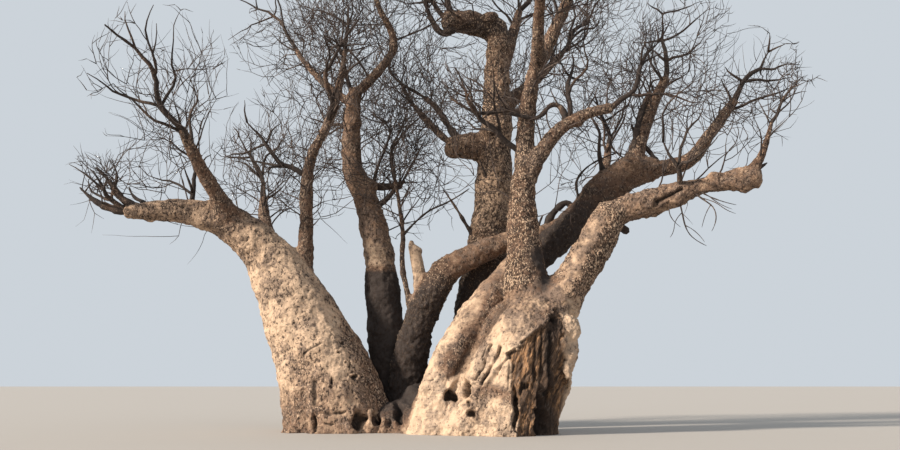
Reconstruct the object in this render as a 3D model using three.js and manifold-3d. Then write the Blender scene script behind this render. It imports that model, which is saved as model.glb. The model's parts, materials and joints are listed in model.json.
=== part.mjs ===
// A bare baobab in its dry season: a ring of six thick stems fused at the foot, their boughs, and masses of
// bare twigs at the ends of the boughs. Sizes are in metres, and the meshes are scaled to millimetres.
// +Z is up, X runs to the right and Y away from a viewer in front, and the origin is at ground level in the
// middle of the fused foot. Bearings are degrees in plan from +X towards +Y, and rises degrees above level.
import * as THREE from "three";
import Module from "manifold-3d";

const wasm = await Module();
wasm.setup();

const MILLIMETRES = 1000;
const GAP = 0.0006; // clearance between neighbouring pieces
const SIMPLIFY = 3; // detail of a mass that may be smoothed away, in millimetres
const BURIED = 0.6; // how far a stem is drawn below the ground before it is cut off level
const RING_STEP = 0.9; // length of limb between two rings
const RING_LIMITS = [4, 13];
const COLLAR = 0.22; // swelling of a bough where it leaves its limb, as a share of its radius
const DOME = 0.5; // how far a domed top closes in, as a share of its radius
const GOLDEN_ANGLE = 137.5;

const BARK = { color: 0x9c8470, roughness: 0.9 };
const PALE_BARK = { color: 0xc2a78a, roughness: 0.88 };
const TWIG_BARK = { color: 0x7d6a60, roughness: 0.92 };

// Each limb starts on the ground or on another limb, at a share of that limb's length, and is a chain of
// runs: length, bearing and rise. foot and tip are radii, and a fullness above 1 keeps it thick for longer.
// lobes is the depth of the folds round a foot, flare how far the foot spreads at the ground, dome the length
// over which a broad top closes in, and bulges lists where along a limb it swells or narrows, by how much, and
// over which share of its length.
const LIMBS = {
  right_trunk: {
    ground: [2.7, -1.3], foot: 1.72, tip: 1.62, flare: 0.26, flareHeight: 0.9, lobes: 0.07, dome: 1.5, sides: 20,
    runs: [[1.2, 0, 80], [3.6, 0, 67]],
  },
  left_trunk: {
    ground: [-2.9, 0.5], foot: 1.86, tip: 0.93, fullness: 1.35, flare: 0.14, lobes: 0.04, sides: 18,
    runs: [[1.5, 180, 80], [3.0, 177, 63], [2.3, 180, 63]],
  },
  back_trunk: {
    ground: [1.85, 2.2], foot: 1.1, tip: 0.43, flare: 0.3, lobes: 0.05, sides: 14,
    runs: [[4.0, 0, 89], [2.8, 0, 78], [4.0, 0, 85], [5.3, 0, 89]],
  },
  arched_stem: {
    ground: [-0.75, 1.2], foot: 0.74, tip: 0.52, flare: 0.16, lobes: 0.03, sides: 12,
    runs: [[1.6, 0, 88], [3.0, 342, 76], [1.6, 350, 57]],
  },
  leaning_stem: {
    ground: [0.6, -1.35], foot: 0.86, tip: 0.63, flare: 0.22, lobes: 0.04, sides: 14,
    runs: [[1.3, 130, 84], [3.8, 26, 58], [2.3, 24, 42]],
  },
  back_left_stem: {
    ground: [-1.1, 1.9], foot: 0.82, tip: 0.26, fullness: 1.2, flare: 0.2, lobes: 0.03, sides: 12,
    runs: [[5.8, 180, 86], [3.2, 180, 76], [1.7, 180, 62], [2.8, 0, 84]],
  },
  middle_stem: {
    on: "right_trunk", at: 0.73, foot: 0.77, tip: 0.43, sides: 12,
    runs: [[3.1, 180, 83], [2.4, 10, 86]],
  },
  right_stem: {
    on: "right_trunk", at: 0.685, foot: 0.68, tip: 0.58, sides: 12,
    runs: [[2.75, 353, 52], [2.55, 348, 61]],
  },
  right_bough: {
    on: "right_stem", at: 0.98, foot: 0.49, tip: 0.3, sides: 10,
    bulges: [[0.3, 0.16, 0.14], [0.62, -0.2, 0.14], [0.95, 0.24, 0.12]],
    runs: [[1.2, 350, 17], [2.4, 346, 15], [1.3, 344, 2]],
  },
  right_tip_bough: {
    on: "right_bough", at: 0.93, foot: 0.19, tip: 0.08, sides: 7,
    runs: [[0.7, 340, 45], [0.7, 0, 66], [0.8, 0, 74]],
  },
  leaning_bough: {
    on: "leaning_stem", at: 0.98, foot: 0.61, tip: 0.5, sides: 12, bulges: [[0.68, 0.16, 0.16]],
    runs: [[2.4, 6, 38], [2.3, 0, 54], [1.6, 0, 10]],
  },
  right_upper_bough: {
    on: "leaning_bough", at: 0.86, foot: 0.34, tip: 0.19, sides: 9,
    runs: [[2.6, 0, 74], [1.4, 0, 58]],
  },
  right_outer_bough: {
    on: "leaning_bough", at: 0.97, foot: 0.34, tip: 0.16, sides: 9,
    runs: [[1.4, 345, -2], [1.4, 328, 52], [1.6, 335, 51]],
  },
  leaning_rear_bough: {
    on: "leaning_bough", at: 0.55, foot: 0.32, tip: 0.13, sides: 8,
    runs: [[2.3, 60, 38], [2.1, 75, 50]],
  },
  middle_bough: {
    on: "middle_stem", at: 0.97, foot: 0.37, tip: 0.2, sides: 10,
    runs: [[3.6, 0, 88], [1.8, 0, 60], [1.9, 0, 68]],
  },
  middle_right_bough: {
    on: "middle_stem", at: 0.94, foot: 0.32, tip: 0.18, sides: 9,
    runs: [[1.7, 345, 66], [1.7, 342, 36], [1.1, 348, 6]],
  },
  middle_front_bough: {
    on: "middle_bough", at: 0.62, foot: 0.26, tip: 0.13, sides: 8,
    runs: [[2.3, 262, 32], [2.3, 280, 38]],
  },
  arched_bough: {
    on: "arched_stem", at: 0.98, foot: 0.51, tip: 0.13, sides: 10,
    runs: [[1.8, 352, 30], [2.0, 5, 14], [1.6, 352, 26], [0.9, 354, 38]],
  },
  broken_stub: {
    on: "arched_stem", at: 0.7, foot: 0.35, tip: 0.2, sides: 9,
    runs: [[1.5, 120, 82], [1.0, 172, 74]],
  },
  arched_side_bough: {
    on: "arched_stem", at: 0.55, foot: 0.14, tip: 0.07, sides: 7,
    runs: [[1.6, 150, 78], [1.2, 175, 76], [1.4, 10, 85], [1.8, 190, 78]],
  },
  left_bough: {
    on: "left_trunk", at: 0.97, foot: 0.9, tip: 0.25, sides: 12,
    runs: [[1.7, 183, 46], [1.5, 196, 22], [1.6, 196, 2], [1.1, 188, -6]],
  },
  left_shoot: {
    on: "left_trunk", at: 0.64, foot: 0.34, tip: 0.1, sides: 9,
    runs: [[2.6, 0, 86], [3.2, 180, 87], [1.7, 0, 60], [1.5, 0, 75], [1.6, 0, 84]],
  },
  left_back_bough: {
    on: "left_trunk", at: 0.93, foot: 0.44, tip: 0.18, sides: 9,
    runs: [[2.4, 120, 42], [2.2, 105, 48]],
  },
  left_front_bough: {
    on: "left_bough", at: 0.3, foot: 0.4, tip: 0.16, sides: 9,
    runs: [[2.2, 235, 42], [2.2, 250, 46]],
  },
  back_left_fork: {
    on: "back_left_stem", at: 0.98, foot: 0.22, tip: 0.09, sides: 8,
    runs: [[2.1, 345, 41], [0.9, 290, 66], [1.4, 212, 52], [1.2, 190, 75]],
  },
  back_left_bough: {
    on: "back_left_stem", at: 0.95, foot: 0.18, tip: 0.1, sides: 8,
    runs: [[2.4, 166, 37], [1.4, 150, 60]],
  },
  back_left_rear_bough: {
    on: "back_left_stem", at: 0.66, foot: 0.27, tip: 0.12, sides: 8,
    runs: [[2.2, 110, 38], [2.2, 95, 50]],
  },
  back_stub: {
    on: "back_trunk", at: 0.672, foot: 0.5, tip: 0.42, sides: 10,
    runs: [[1.0, 188, 10], [0.8, 190, -6]],
  },
  stub_bough: {
    on: "back_stub", at: 0.95, foot: 0.17, tip: 0.09, sides: 8,
    runs: [[1.6, 150, 42], [1.5, 135, 50]],
  },
  top_left_bough: {
    on: "back_trunk", at: 0.975, foot: 0.5, tip: 0.44, sides: 10,
    runs: [[0.7, 190, 48], [1.6, 190, -3]],
  },
  top_bough: {
    on: "back_trunk", at: 0.85, foot: 0.36, tip: 0.16, sides: 9,
    runs: [[2.2, 20, 70], [1.4, 60, 66]],
  },
  rear_bough: {
    on: "back_trunk", at: 0.652, foot: 0.42, tip: 0.16, sides: 9,
    runs: [[2.8, 80, 32], [2.6, 95, 42]],
  },
  rear_right_bough: {
    on: "back_trunk", at: 0.77, foot: 0.34, tip: 0.14, sides: 9,
    runs: [[2.4, 35, 38], [2.2, 25, 48]],
  },
  trunk_foot: {
    ground: [0.0, 0.5], foot: 2.1, tip: 1.6, fullness: 2, flare: 0.1, lobes: 0.05, dome: 0.8, sides: 16,
    runs: [[1.15, 0, 90]],
  },
};

// Each mass of twigs grows from one stem that meets its limb, at the tip unless a share is given, and keeps
// within its reach of a core that runs ahead from the root of that stem.
const MASSES = {
  left_outer_twigs: { on: "left_bough", heading: [186, 30], reach: 1.6, seed: 11 },
  left_low_twigs: { on: "left_bough", at: 0.62, heading: [170, 62], reach: 2.0, seed: 35 },
  left_shoot_twigs: { on: "left_shoot", at: 0.5, heading: [165, 44], reach: 2.3, seed: 12 },
  left_upper_twigs: { on: "left_shoot", heading: [120, 74], reach: 2.3, seed: 13 },
  left_back_twigs: { on: "left_back_bough", heading: [108, 50], reach: 2.5, seed: 14 },
  left_front_twigs: { on: "left_front_bough", heading: [248, 48], reach: 2.5, seed: 15 },
  back_left_top_twigs: { on: "back_left_fork", heading: [190, 70], reach: 2.2, seed: 16 },
  back_left_twigs: { on: "back_left_bough", heading: [150, 48], reach: 2.3, seed: 17 },
  back_left_rear_twigs: { on: "back_left_rear_bough", heading: [100, 44], reach: 2.7, seed: 18 },
  arched_side_twigs: { on: "arched_side_bough", heading: [200, 70], reach: 2.3, seed: 19 },
  arched_front_twigs: { on: "left_shoot", at: 0.72, heading: [280, 40], reach: 2.6, seed: 36 },
  stub_twigs: { on: "stub_bough", heading: [150, 44], reach: 2.5, seed: 20 },
  top_left_twigs: { on: "top_left_bough", heading: [190, 56], reach: 2.4, seed: 21 },
  top_twigs: { on: "top_bough", heading: [60, 70], reach: 2.1, seed: 22 },
  rear_twigs: { on: "rear_bough", heading: [92, 40], reach: 2.9, seed: 23 },
  rear_right_twigs: { on: "rear_right_bough", heading: [30, 44], reach: 2.6, seed: 24 },
  middle_twigs: { on: "middle_bough", heading: [335, 62], reach: 2.5, seed: 25 },
  middle_right_twigs: { on: "middle_right_bough", heading: [345, 34], reach: 2.2, seed: 26 },
  middle_riser_twigs: { on: "middle_right_bough", at: 0.66, heading: [355, 80], reach: 2.3, seed: 27 },
  middle_left_twigs: { on: "middle_bough", at: 0.14, heading: [200, 34], reach: 2.4, seed: 28 },
  middle_front_twigs: { on: "middle_front_bough", heading: [275, 40], reach: 2.8, seed: 29 },
  right_upper_twigs: { on: "right_upper_bough", heading: [20, 66], reach: 2.3, seed: 30 },
  right_outer_twigs: { on: "right_outer_bough", heading: [330, 46], reach: 1.7, seed: 31 },
  right_tip_twigs: { on: "right_tip_bough", heading: [0, 50], reach: 1.1, seed: 32 },
  right_rear_twigs: { on: "leaning_rear_bough", heading: [68, 44], reach: 2.7, seed: 33 },
  right_front_twigs: { on: "right_bough", at: 0.5, heading: [285, 40], reach: 2.4, seed: 34 },
};

// The twigs' rule, level by level: knees along a twig, side twigs at each knee, and their length as a share
// of the reach for the stem and of the parent for the rest.
const TWIG_LEVELS = [
  { knees: 4, children: 2, length: 1.7 },
  { knees: 2, children: 1, length: 0.6 },
  { knees: 2, children: 0, length: 0.55 },
];
const TWIG_SPREAD = 52; // angle between a side twig and its parent
const TWIG_CROOK = 0.42; // how far each knee turns at random
const TWIG_LIFT = 0.1; // how far each knee turns upwards
const TWIG_THINNING = 0.62; // radius of a side twig as a share of its parent there
const TWIG_TAPER = 0.45; // radius at a twig's tip as a share of its foot
const THICKEST_TWIG = 0.11;
const THINNEST_TWIG = 0.018;
const SPACE_AHEAD = 0.8; // length of the core of a mass's space, ahead of its root, as a share of its reach
const SPACE_MARGIN = 0.03; // clearance of a twig from limbs and from the next mass's space
const PROBE_STEP = 0.15; // spacing of the points at which a twig is tested against the limbs

function heading(bearing, rise) {
  const b = THREE.MathUtils.degToRad(bearing);
  const r = THREE.MathUtils.degToRad(rise);
  return new THREE.Vector3(Math.cos(r) * Math.cos(b), Math.cos(r) * Math.sin(b), Math.sin(r));
}

// A seeded generator that gives the same numbers in any language.
function randomFrom(seed) {
  let state = seed % 4294967296;
  const draw = () => {
    state = (state * 1664525 + 1013904223) % 4294967296;
    return state / 4294967296;
  };
  draw();
  draw();
  return draw;
}

const childSeed = (seed, index) => (seed * 69069 + index * 362437 + 1) % 4294967296;

// The smooth line through a limb's runs: quadratic arcs that join the middles of neighbouring runs.
function limbPath(start, runs) {
  const knees = [start];
  for (const [length, bearing, rise] of runs) {
    knees.push(knees.at(-1).clone().addScaledVector(heading(bearing, rise), length));
  }
  const path = new THREE.CurvePath();
  if (knees.length === 2) {
    path.add(new THREE.LineCurve3(knees[0], knees[1]));
    return path;
  }
  const joints = knees.slice(1, -2).map((knee, i) => knee.clone().lerp(knees[i + 2], 0.5));
  const ends = [knees[0], ...joints, knees.at(-1)];
  for (let i = 0; i + 1 < ends.length; i++) {
    path.add(new THREE.QuadraticBezierCurve3(ends[i], knees[i + 1], ends[i + 1]));
  }
  return path;
}

// Works out a limb's line and how its radius runs along it.
function plan(name) {
  const spec = LIMBS[name];
  const parent = spec.on ? limbs[spec.on] : null;
  const start = parent
    ? parent.path.getPointAt(spec.at)
    : new THREE.Vector3(spec.ground[0], spec.ground[1], 0);
  const path = limbPath(start, spec.runs);
  const length = path.getLength();
  const joined = parent !== null && spec.at < 0.95;
  const hidden = joined ? parent.radius(spec.at * parent.length) : 0;
  const radius = (s) => {
    const share = Math.min(Math.max(s / length, 0), 1);
    let r = spec.tip + (spec.foot - spec.tip) * (1 - share ** (spec.fullness ?? 1));
    if (spec.dome) {
      r *= 1 - DOME * Math.max(1 - (length - s) / spec.dome, 0) ** 2;
    }
    if (spec.flare) {
      r += spec.flare * Math.exp(-Math.max(s, 0) / (spec.flareHeight ?? 0.5));
    }
    for (const [at, growth, spread] of spec.bulges ?? []) {
      r *= 1 + growth * Math.exp(-(((share - at) / spread) ** 2));
    }
    if (joined) {
      r *= 1 + COLLAR * Math.exp(-Math.max(s - hidden, 0) / spec.foot);
    }
    return r;
  };
  return { name, spec, path, length, radius };
}

// The rings of a limb: the distance along it, the point there and two directions across it.
function rings(limb, extra) {
  const { path, length, spec } = limb;
  const [fewest, most] = RING_LIMITS;
  const count = THREE.MathUtils.clamp(Math.ceil(length / RING_STEP) + 1, fewest, most);
  const stations = Array.from({ length: count }, (_, i) => (length * i) / (count - 1));
  if (spec.flare) {
    stations.splice(1, 0, 0.35 * stations[1]);
    stations.unshift(-BURIED);
  }
  stations[stations.length - 1] += extra;
  const across = new THREE.Vector3(1, 0, 0);
  return stations.map((s) => {
    const share = THREE.MathUtils.clamp(s / length, 0, 1);
    const along = path.getTangentAt(share);
    const centre = path.getPointAt(share).addScaledVector(along, s - share * length);
    across.addScaledVector(along, -across.dot(along)).normalize();
    return { s, centre, side: across.clone(), other: along.clone().cross(across) };
  });
}

// Folds round a foot: a few uneven lobes that fade with height.
function lobe(spec, s, angle) {
  if (!spec.lobes) {
    return 1;
  }
  const fade = Math.exp(-Math.max(s, 0) / (2 * spec.foot));
  const wave = Math.cos(5 * angle + 0.6) + 0.7 * Math.cos(3 * angle + 2.1);
  return 1 + spec.lobes * fade * wave;
}

function solid(points, faces) {
  const vertProperties = new Float32Array(points.flatMap((p) => p.toArray().map((v) => v * MILLIMETRES)));
  const triVerts = new Uint32Array(faces.flat());
  return new wasm.Manifold(new wasm.Mesh({ numProp: 3, vertProperties, triVerts }));
}

// A closed solid through rings of equal count, each a list of points that runs anticlockwise seen from its end.
function loft(sections) {
  const sides = sections[0].length;
  const points = sections.flat();
  const faces = [];
  const ringStart = (i) => i * sides;
  for (let i = 0; i + 1 < sections.length; i++) {
    for (let j = 0; j < sides; j++) {
      const next = (j + 1) % sides;
      const [a, b] = [ringStart(i) + j, ringStart(i) + next];
      const [c, d] = [ringStart(i + 1) + next, ringStart(i + 1) + j];
      faces.push([a, b, c], [a, c, d]);
    }
  }
  const last = ringStart(sections.length - 1);
  for (let j = 1; j + 1 < sides; j++) {
    faces.push([0, j + 1, j], [last, last + j, last + j + 1]);
  }
  return solid(points, faces);
}

function limbSolid(limb, grow = 0) {
  const { spec, radius } = limb;
  const sections = rings(limb, grow).map(({ s, centre, side, other }) =>
    Array.from({ length: spec.sides }, (_, j) => {
      const angle = (2 * Math.PI * j) / spec.sides;
      const r = radius(s) * lobe(spec, s, angle) + grow;
      return centre
        .clone()
        .addScaledVector(side, r * Math.cos(angle))
        .addScaledVector(other, r * Math.sin(angle));
    }),
  );
  return loft(sections);
}

function boxSolid(width, depth, height, centre) {
  const box = new THREE.BoxGeometry(width, depth, height).translate(...centre);
  box.deleteAttribute("normal");
  box.deleteAttribute("uv");
  const corners = [];
  const index = [];
  const position = box.getAttribute("position");
  for (let i = 0; i < position.count; i++) {
    const p = new THREE.Vector3().fromBufferAttribute(position, i);
    let found = corners.findIndex((c) => c.distanceTo(p) < 1e-6);
    if (found < 0) {
      found = corners.push(p) - 1;
    }
    index.push(found);
  }
  const faces = [];
  const order = box.index.array;
  for (let i = 0; i < order.length; i += 3) {
    faces.push([index[order[i]], index[order[i + 1]], index[order[i + 2]]]);
  }
  return solid(corners, faces);
}

const near = (a, b) => {
  const [p, q] = [a.boundingBox(), b.boundingBox()];
  return [0, 1, 2].every((i) => p.min[i] < q.max[i] && q.min[i] < p.max[i]);
};

const largest = (made) => made.decompose().sort((a, b) => b.volume() - a.volume())[0];

// Twigs
const limbProbes = []; // points along every limb, with its radius there

function probeLimb(limb) {
  const count = Math.ceil(limb.length / PROBE_STEP);
  for (let i = 0; i <= count; i++) {
    const share = i / count;
    limbProbes.push({ limb, point: limb.path.getPointAt(share), radius: limb.radius(share * limb.length) });
  }
}

function planMass(name) {
  const spec = MASSES[name];
  const limb = limbs[spec.on];
  const share = spec.at ?? 1;
  const root = limb.path.getPointAt(share);
  const ahead = heading(...spec.heading);
  const centre = root.clone().addScaledVector(ahead, spec.reach * SPACE_AHEAD);
  const limbRadius = limb.radius(share * limb.length);
  const radius = Math.min(limbRadius * 0.82, THICKEST_TWIG);
  return { name, spec, limb, root, ahead, core: new THREE.Line3(root, centre), radius, limbRadius };
}

// How far a point is from the core of a mass's space, less its reach: below zero inside the space.
function offSpace(mass, point) {
  return mass.core.closestPointToPoint(point, true, new THREE.Vector3()).distanceTo(point) - mass.spec.reach;
}

// A point is in a mass's space if it is within its reach, not further into the space of another mass, and
// clear of the limbs, apart from its own limb close to the root.
function inSpace(mass, point, radius) {
  const margin = radius + SPACE_MARGIN;
  const off = offSpace(mass, point);
  if (off > -margin) {
    return false;
  }
  const clear = masses.every((other) => other === mass || offSpace(other, point) > off + 2 * margin);
  const fromRoot = point.distanceTo(mass.root);
  return (
    clear &&
    limbProbes.every(
      (probe) =>
        (probe.limb === mass.limb && fromRoot < 1.6 * mass.limbRadius + 0.35) ||
        point.distanceTo(probe.point) > probe.radius * 1.1 + margin,
    )
  );
}

function stepIsClear(mass, from, to, radius) {
  const count = Math.ceil(from.distanceTo(to) / PROBE_STEP);
  for (let i = 1; i <= count; i++) {
    if (!inSpace(mass, from.clone().lerp(to, i / count), radius)) {
      return false;
    }
  }
  return true;
}

// One crooked twig and its side twigs, level by level. Each twig draws from a seed of its own, so that a
// finer version of the same mass has these twigs among its own.
function grow(mass, start, direction, length, radius, level, seed, twigs) {
  const { knees, children } = TWIG_LEVELS[level];
  const draw = randomFrom(seed);
  const points = [start];
  const courses = [direction];
  let course = direction.clone();
  for (let i = 0; i < knees; i++) {
    const turn = new THREE.Vector3(draw() - 0.5, draw() - 0.5, draw() - 0.5);
    course = course.clone().addScaledVector(turn, 2 * TWIG_CROOK);
    course.z += TWIG_LIFT;
    course.normalize();
    const next = points.at(-1).clone().addScaledVector(course, length / knees);
    if (!stepIsClear(mass, points.at(-1), next, radius)) {
      break;
    }
    points.push(next);
    courses.push(course);
  }
  if (points.length < 2) {
    return;
  }
  twigs.push({ points, radius, level });
  if (level + 1 >= TWIG_LEVELS.length) {
    return;
  }
  const spin = 360 * draw();
  for (let i = 1; i < points.length; i++) {
    for (let k = 0; k < children; k++) {
      const index = i * 4 + k;
      const share = i / knees;
      const across = crosswise(courses[i], spin + GOLDEN_ANGLE * (i * children + k));
      const spread = THREE.MathUtils.degToRad(TWIG_SPREAD * (1.1 - 0.35 * share));
      const out = courses[i].clone().multiplyScalar(Math.cos(spread)).addScaledVector(across, Math.sin(spread));
      const sideLength = length * TWIG_LEVELS[level + 1].length * (1.15 - 0.5 * share);
      const sideRadius = Math.max(radius * (1 - (1 - TWIG_TAPER) * share) * TWIG_THINNING, THINNEST_TWIG);
      grow(mass, points[i], out, sideLength, sideRadius, level + 1, childSeed(seed, index), twigs);
    }
  }
}

// The direction across a course, turned round it by an angle from level.
function crosswise(course, degrees) {
  const level = new THREE.Vector3(-course.y, course.x, 0);
  if (level.length() < 1e-4) {
    level.set(1, 0, 0);
  }
  level.normalize();
  const upright = course.clone().cross(level);
  const a = THREE.MathUtils.degToRad(degrees);
  return level.multiplyScalar(Math.cos(a)).addScaledVector(upright, Math.sin(a));
}

function twigSolid({ points, radius }) {
  const across = new THREE.Vector3(0.3, 0.5, 0.8);
  const sections = points.map((point, i) => {
    const before = points[Math.max(i - 1, 0)];
    const after = points[Math.min(i + 1, points.length - 1)];
    const along = after.clone().sub(before).normalize();
    across.addScaledVector(along, -across.dot(along)).normalize();
    const other = along.clone().cross(across);
    const r = radius * (1 - (1 - TWIG_TAPER) * (i / (points.length - 1)));
    return [0, 1, 2].map((j) => {
      const angle = (2 * Math.PI * j) / 3;
      return point
        .clone()
        .addScaledVector(across, r * Math.cos(angle))
        .addScaledVector(other, r * Math.sin(angle));
    });
  });
  return loft(sections);
}

function massSolid(mass) {
  const twigs = [];
  const stemLength = mass.spec.reach * TWIG_LEVELS[0].length;
  grow(mass, mass.root, mass.ahead, stemLength, mass.radius, 0, mass.spec.seed, twigs);
  return twigs.map(twigSolid).reduce((joined, twig) => joined.add(twig)).simplify(SIMPLIFY);
}

const limbs = {};
for (const name of Object.keys(LIMBS)) {
  limbs[name] = plan(name);
  probeLimb(limbs[name]);
}
const masses = Object.keys(MASSES).map(planMass);

const tree = new THREE.Group();

function place(name, made, look) {
  const mesh = made.getMesh();
  const geometry = new THREE.BufferGeometry();
  geometry.setAttribute("position", new THREE.BufferAttribute(Float32Array.from(mesh.vertProperties), 3));
  geometry.setIndex(new THREE.BufferAttribute(Uint32Array.from(mesh.triVerts), 1));
  const shown = new THREE.Mesh(geometry, new THREE.MeshStandardMaterial({ ...look, metalness: 0 }));
  shown.name = name;
  tree.add(shown);
}

// Limbs are cut clear of those before them in the list, so a bough stops short of the limb that bears it.
const ground = boxSolid(60, 60, 4, [0, 0, -2]);
const grown = [];
for (const limb of Object.values(limbs)) {
  let made = limbSolid(limb);
  if (limb.spec.ground) {
    made = made.subtract(ground);
  }
  for (const other of grown) {
    if (near(made, other)) {
      made = made.subtract(other);
    }
  }
  place(limb.name, largest(made), limb.spec.ground ? PALE_BARK : BARK);
  grown.push(limbSolid(limb, GAP));
}

for (const mass of masses) {
  let made = massSolid(mass);
  for (const other of grown) {
    if (near(made, other)) {
      made = made.subtract(other);
    }
  }
  place(mass.name, largest(made), TWIG_BARK);
}

export default tree;
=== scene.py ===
"""A bare baobab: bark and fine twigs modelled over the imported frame, with a plain stage and camera.

Metres, +Z up, +X to the right, +Y away from the viewer, origin at ground level in the middle of the foot.
"""
import itertools
import json
import math

import bmesh
import bpy
import numpy as np
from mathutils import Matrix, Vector

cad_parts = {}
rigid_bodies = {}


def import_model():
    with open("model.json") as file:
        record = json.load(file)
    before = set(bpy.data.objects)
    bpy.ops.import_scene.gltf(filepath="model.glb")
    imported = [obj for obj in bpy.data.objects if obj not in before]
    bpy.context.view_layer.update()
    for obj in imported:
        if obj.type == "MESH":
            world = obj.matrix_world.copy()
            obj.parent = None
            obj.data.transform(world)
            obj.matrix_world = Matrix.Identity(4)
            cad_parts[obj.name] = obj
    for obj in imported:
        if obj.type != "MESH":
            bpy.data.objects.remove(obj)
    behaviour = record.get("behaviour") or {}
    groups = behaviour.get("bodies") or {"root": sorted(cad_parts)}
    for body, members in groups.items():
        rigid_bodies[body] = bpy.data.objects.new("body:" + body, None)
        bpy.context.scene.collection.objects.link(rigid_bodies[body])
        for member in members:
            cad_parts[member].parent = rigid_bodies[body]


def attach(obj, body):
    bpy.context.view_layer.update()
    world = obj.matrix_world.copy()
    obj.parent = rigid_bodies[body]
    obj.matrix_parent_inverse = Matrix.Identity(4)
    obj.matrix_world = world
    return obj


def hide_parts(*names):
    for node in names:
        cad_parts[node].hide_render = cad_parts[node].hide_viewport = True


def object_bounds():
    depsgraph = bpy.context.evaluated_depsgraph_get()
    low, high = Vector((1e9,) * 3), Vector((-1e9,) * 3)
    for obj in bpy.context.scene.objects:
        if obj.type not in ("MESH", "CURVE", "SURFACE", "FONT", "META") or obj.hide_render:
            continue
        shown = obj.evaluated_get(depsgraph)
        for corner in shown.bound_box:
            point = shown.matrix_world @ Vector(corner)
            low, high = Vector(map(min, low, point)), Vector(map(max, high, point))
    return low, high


bl_info = {
    "name": "Bare Baobab",
    "version": (1, 0, 0),
    "blender": (4, 5, 0),
    "location": "View3D > Sidebar > Baobab",
    "description": "Models the bark, boughs and twigs of a many-stemmed bare baobab",
    "category": "Add Mesh",
}

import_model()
CAD_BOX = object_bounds()

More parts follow.
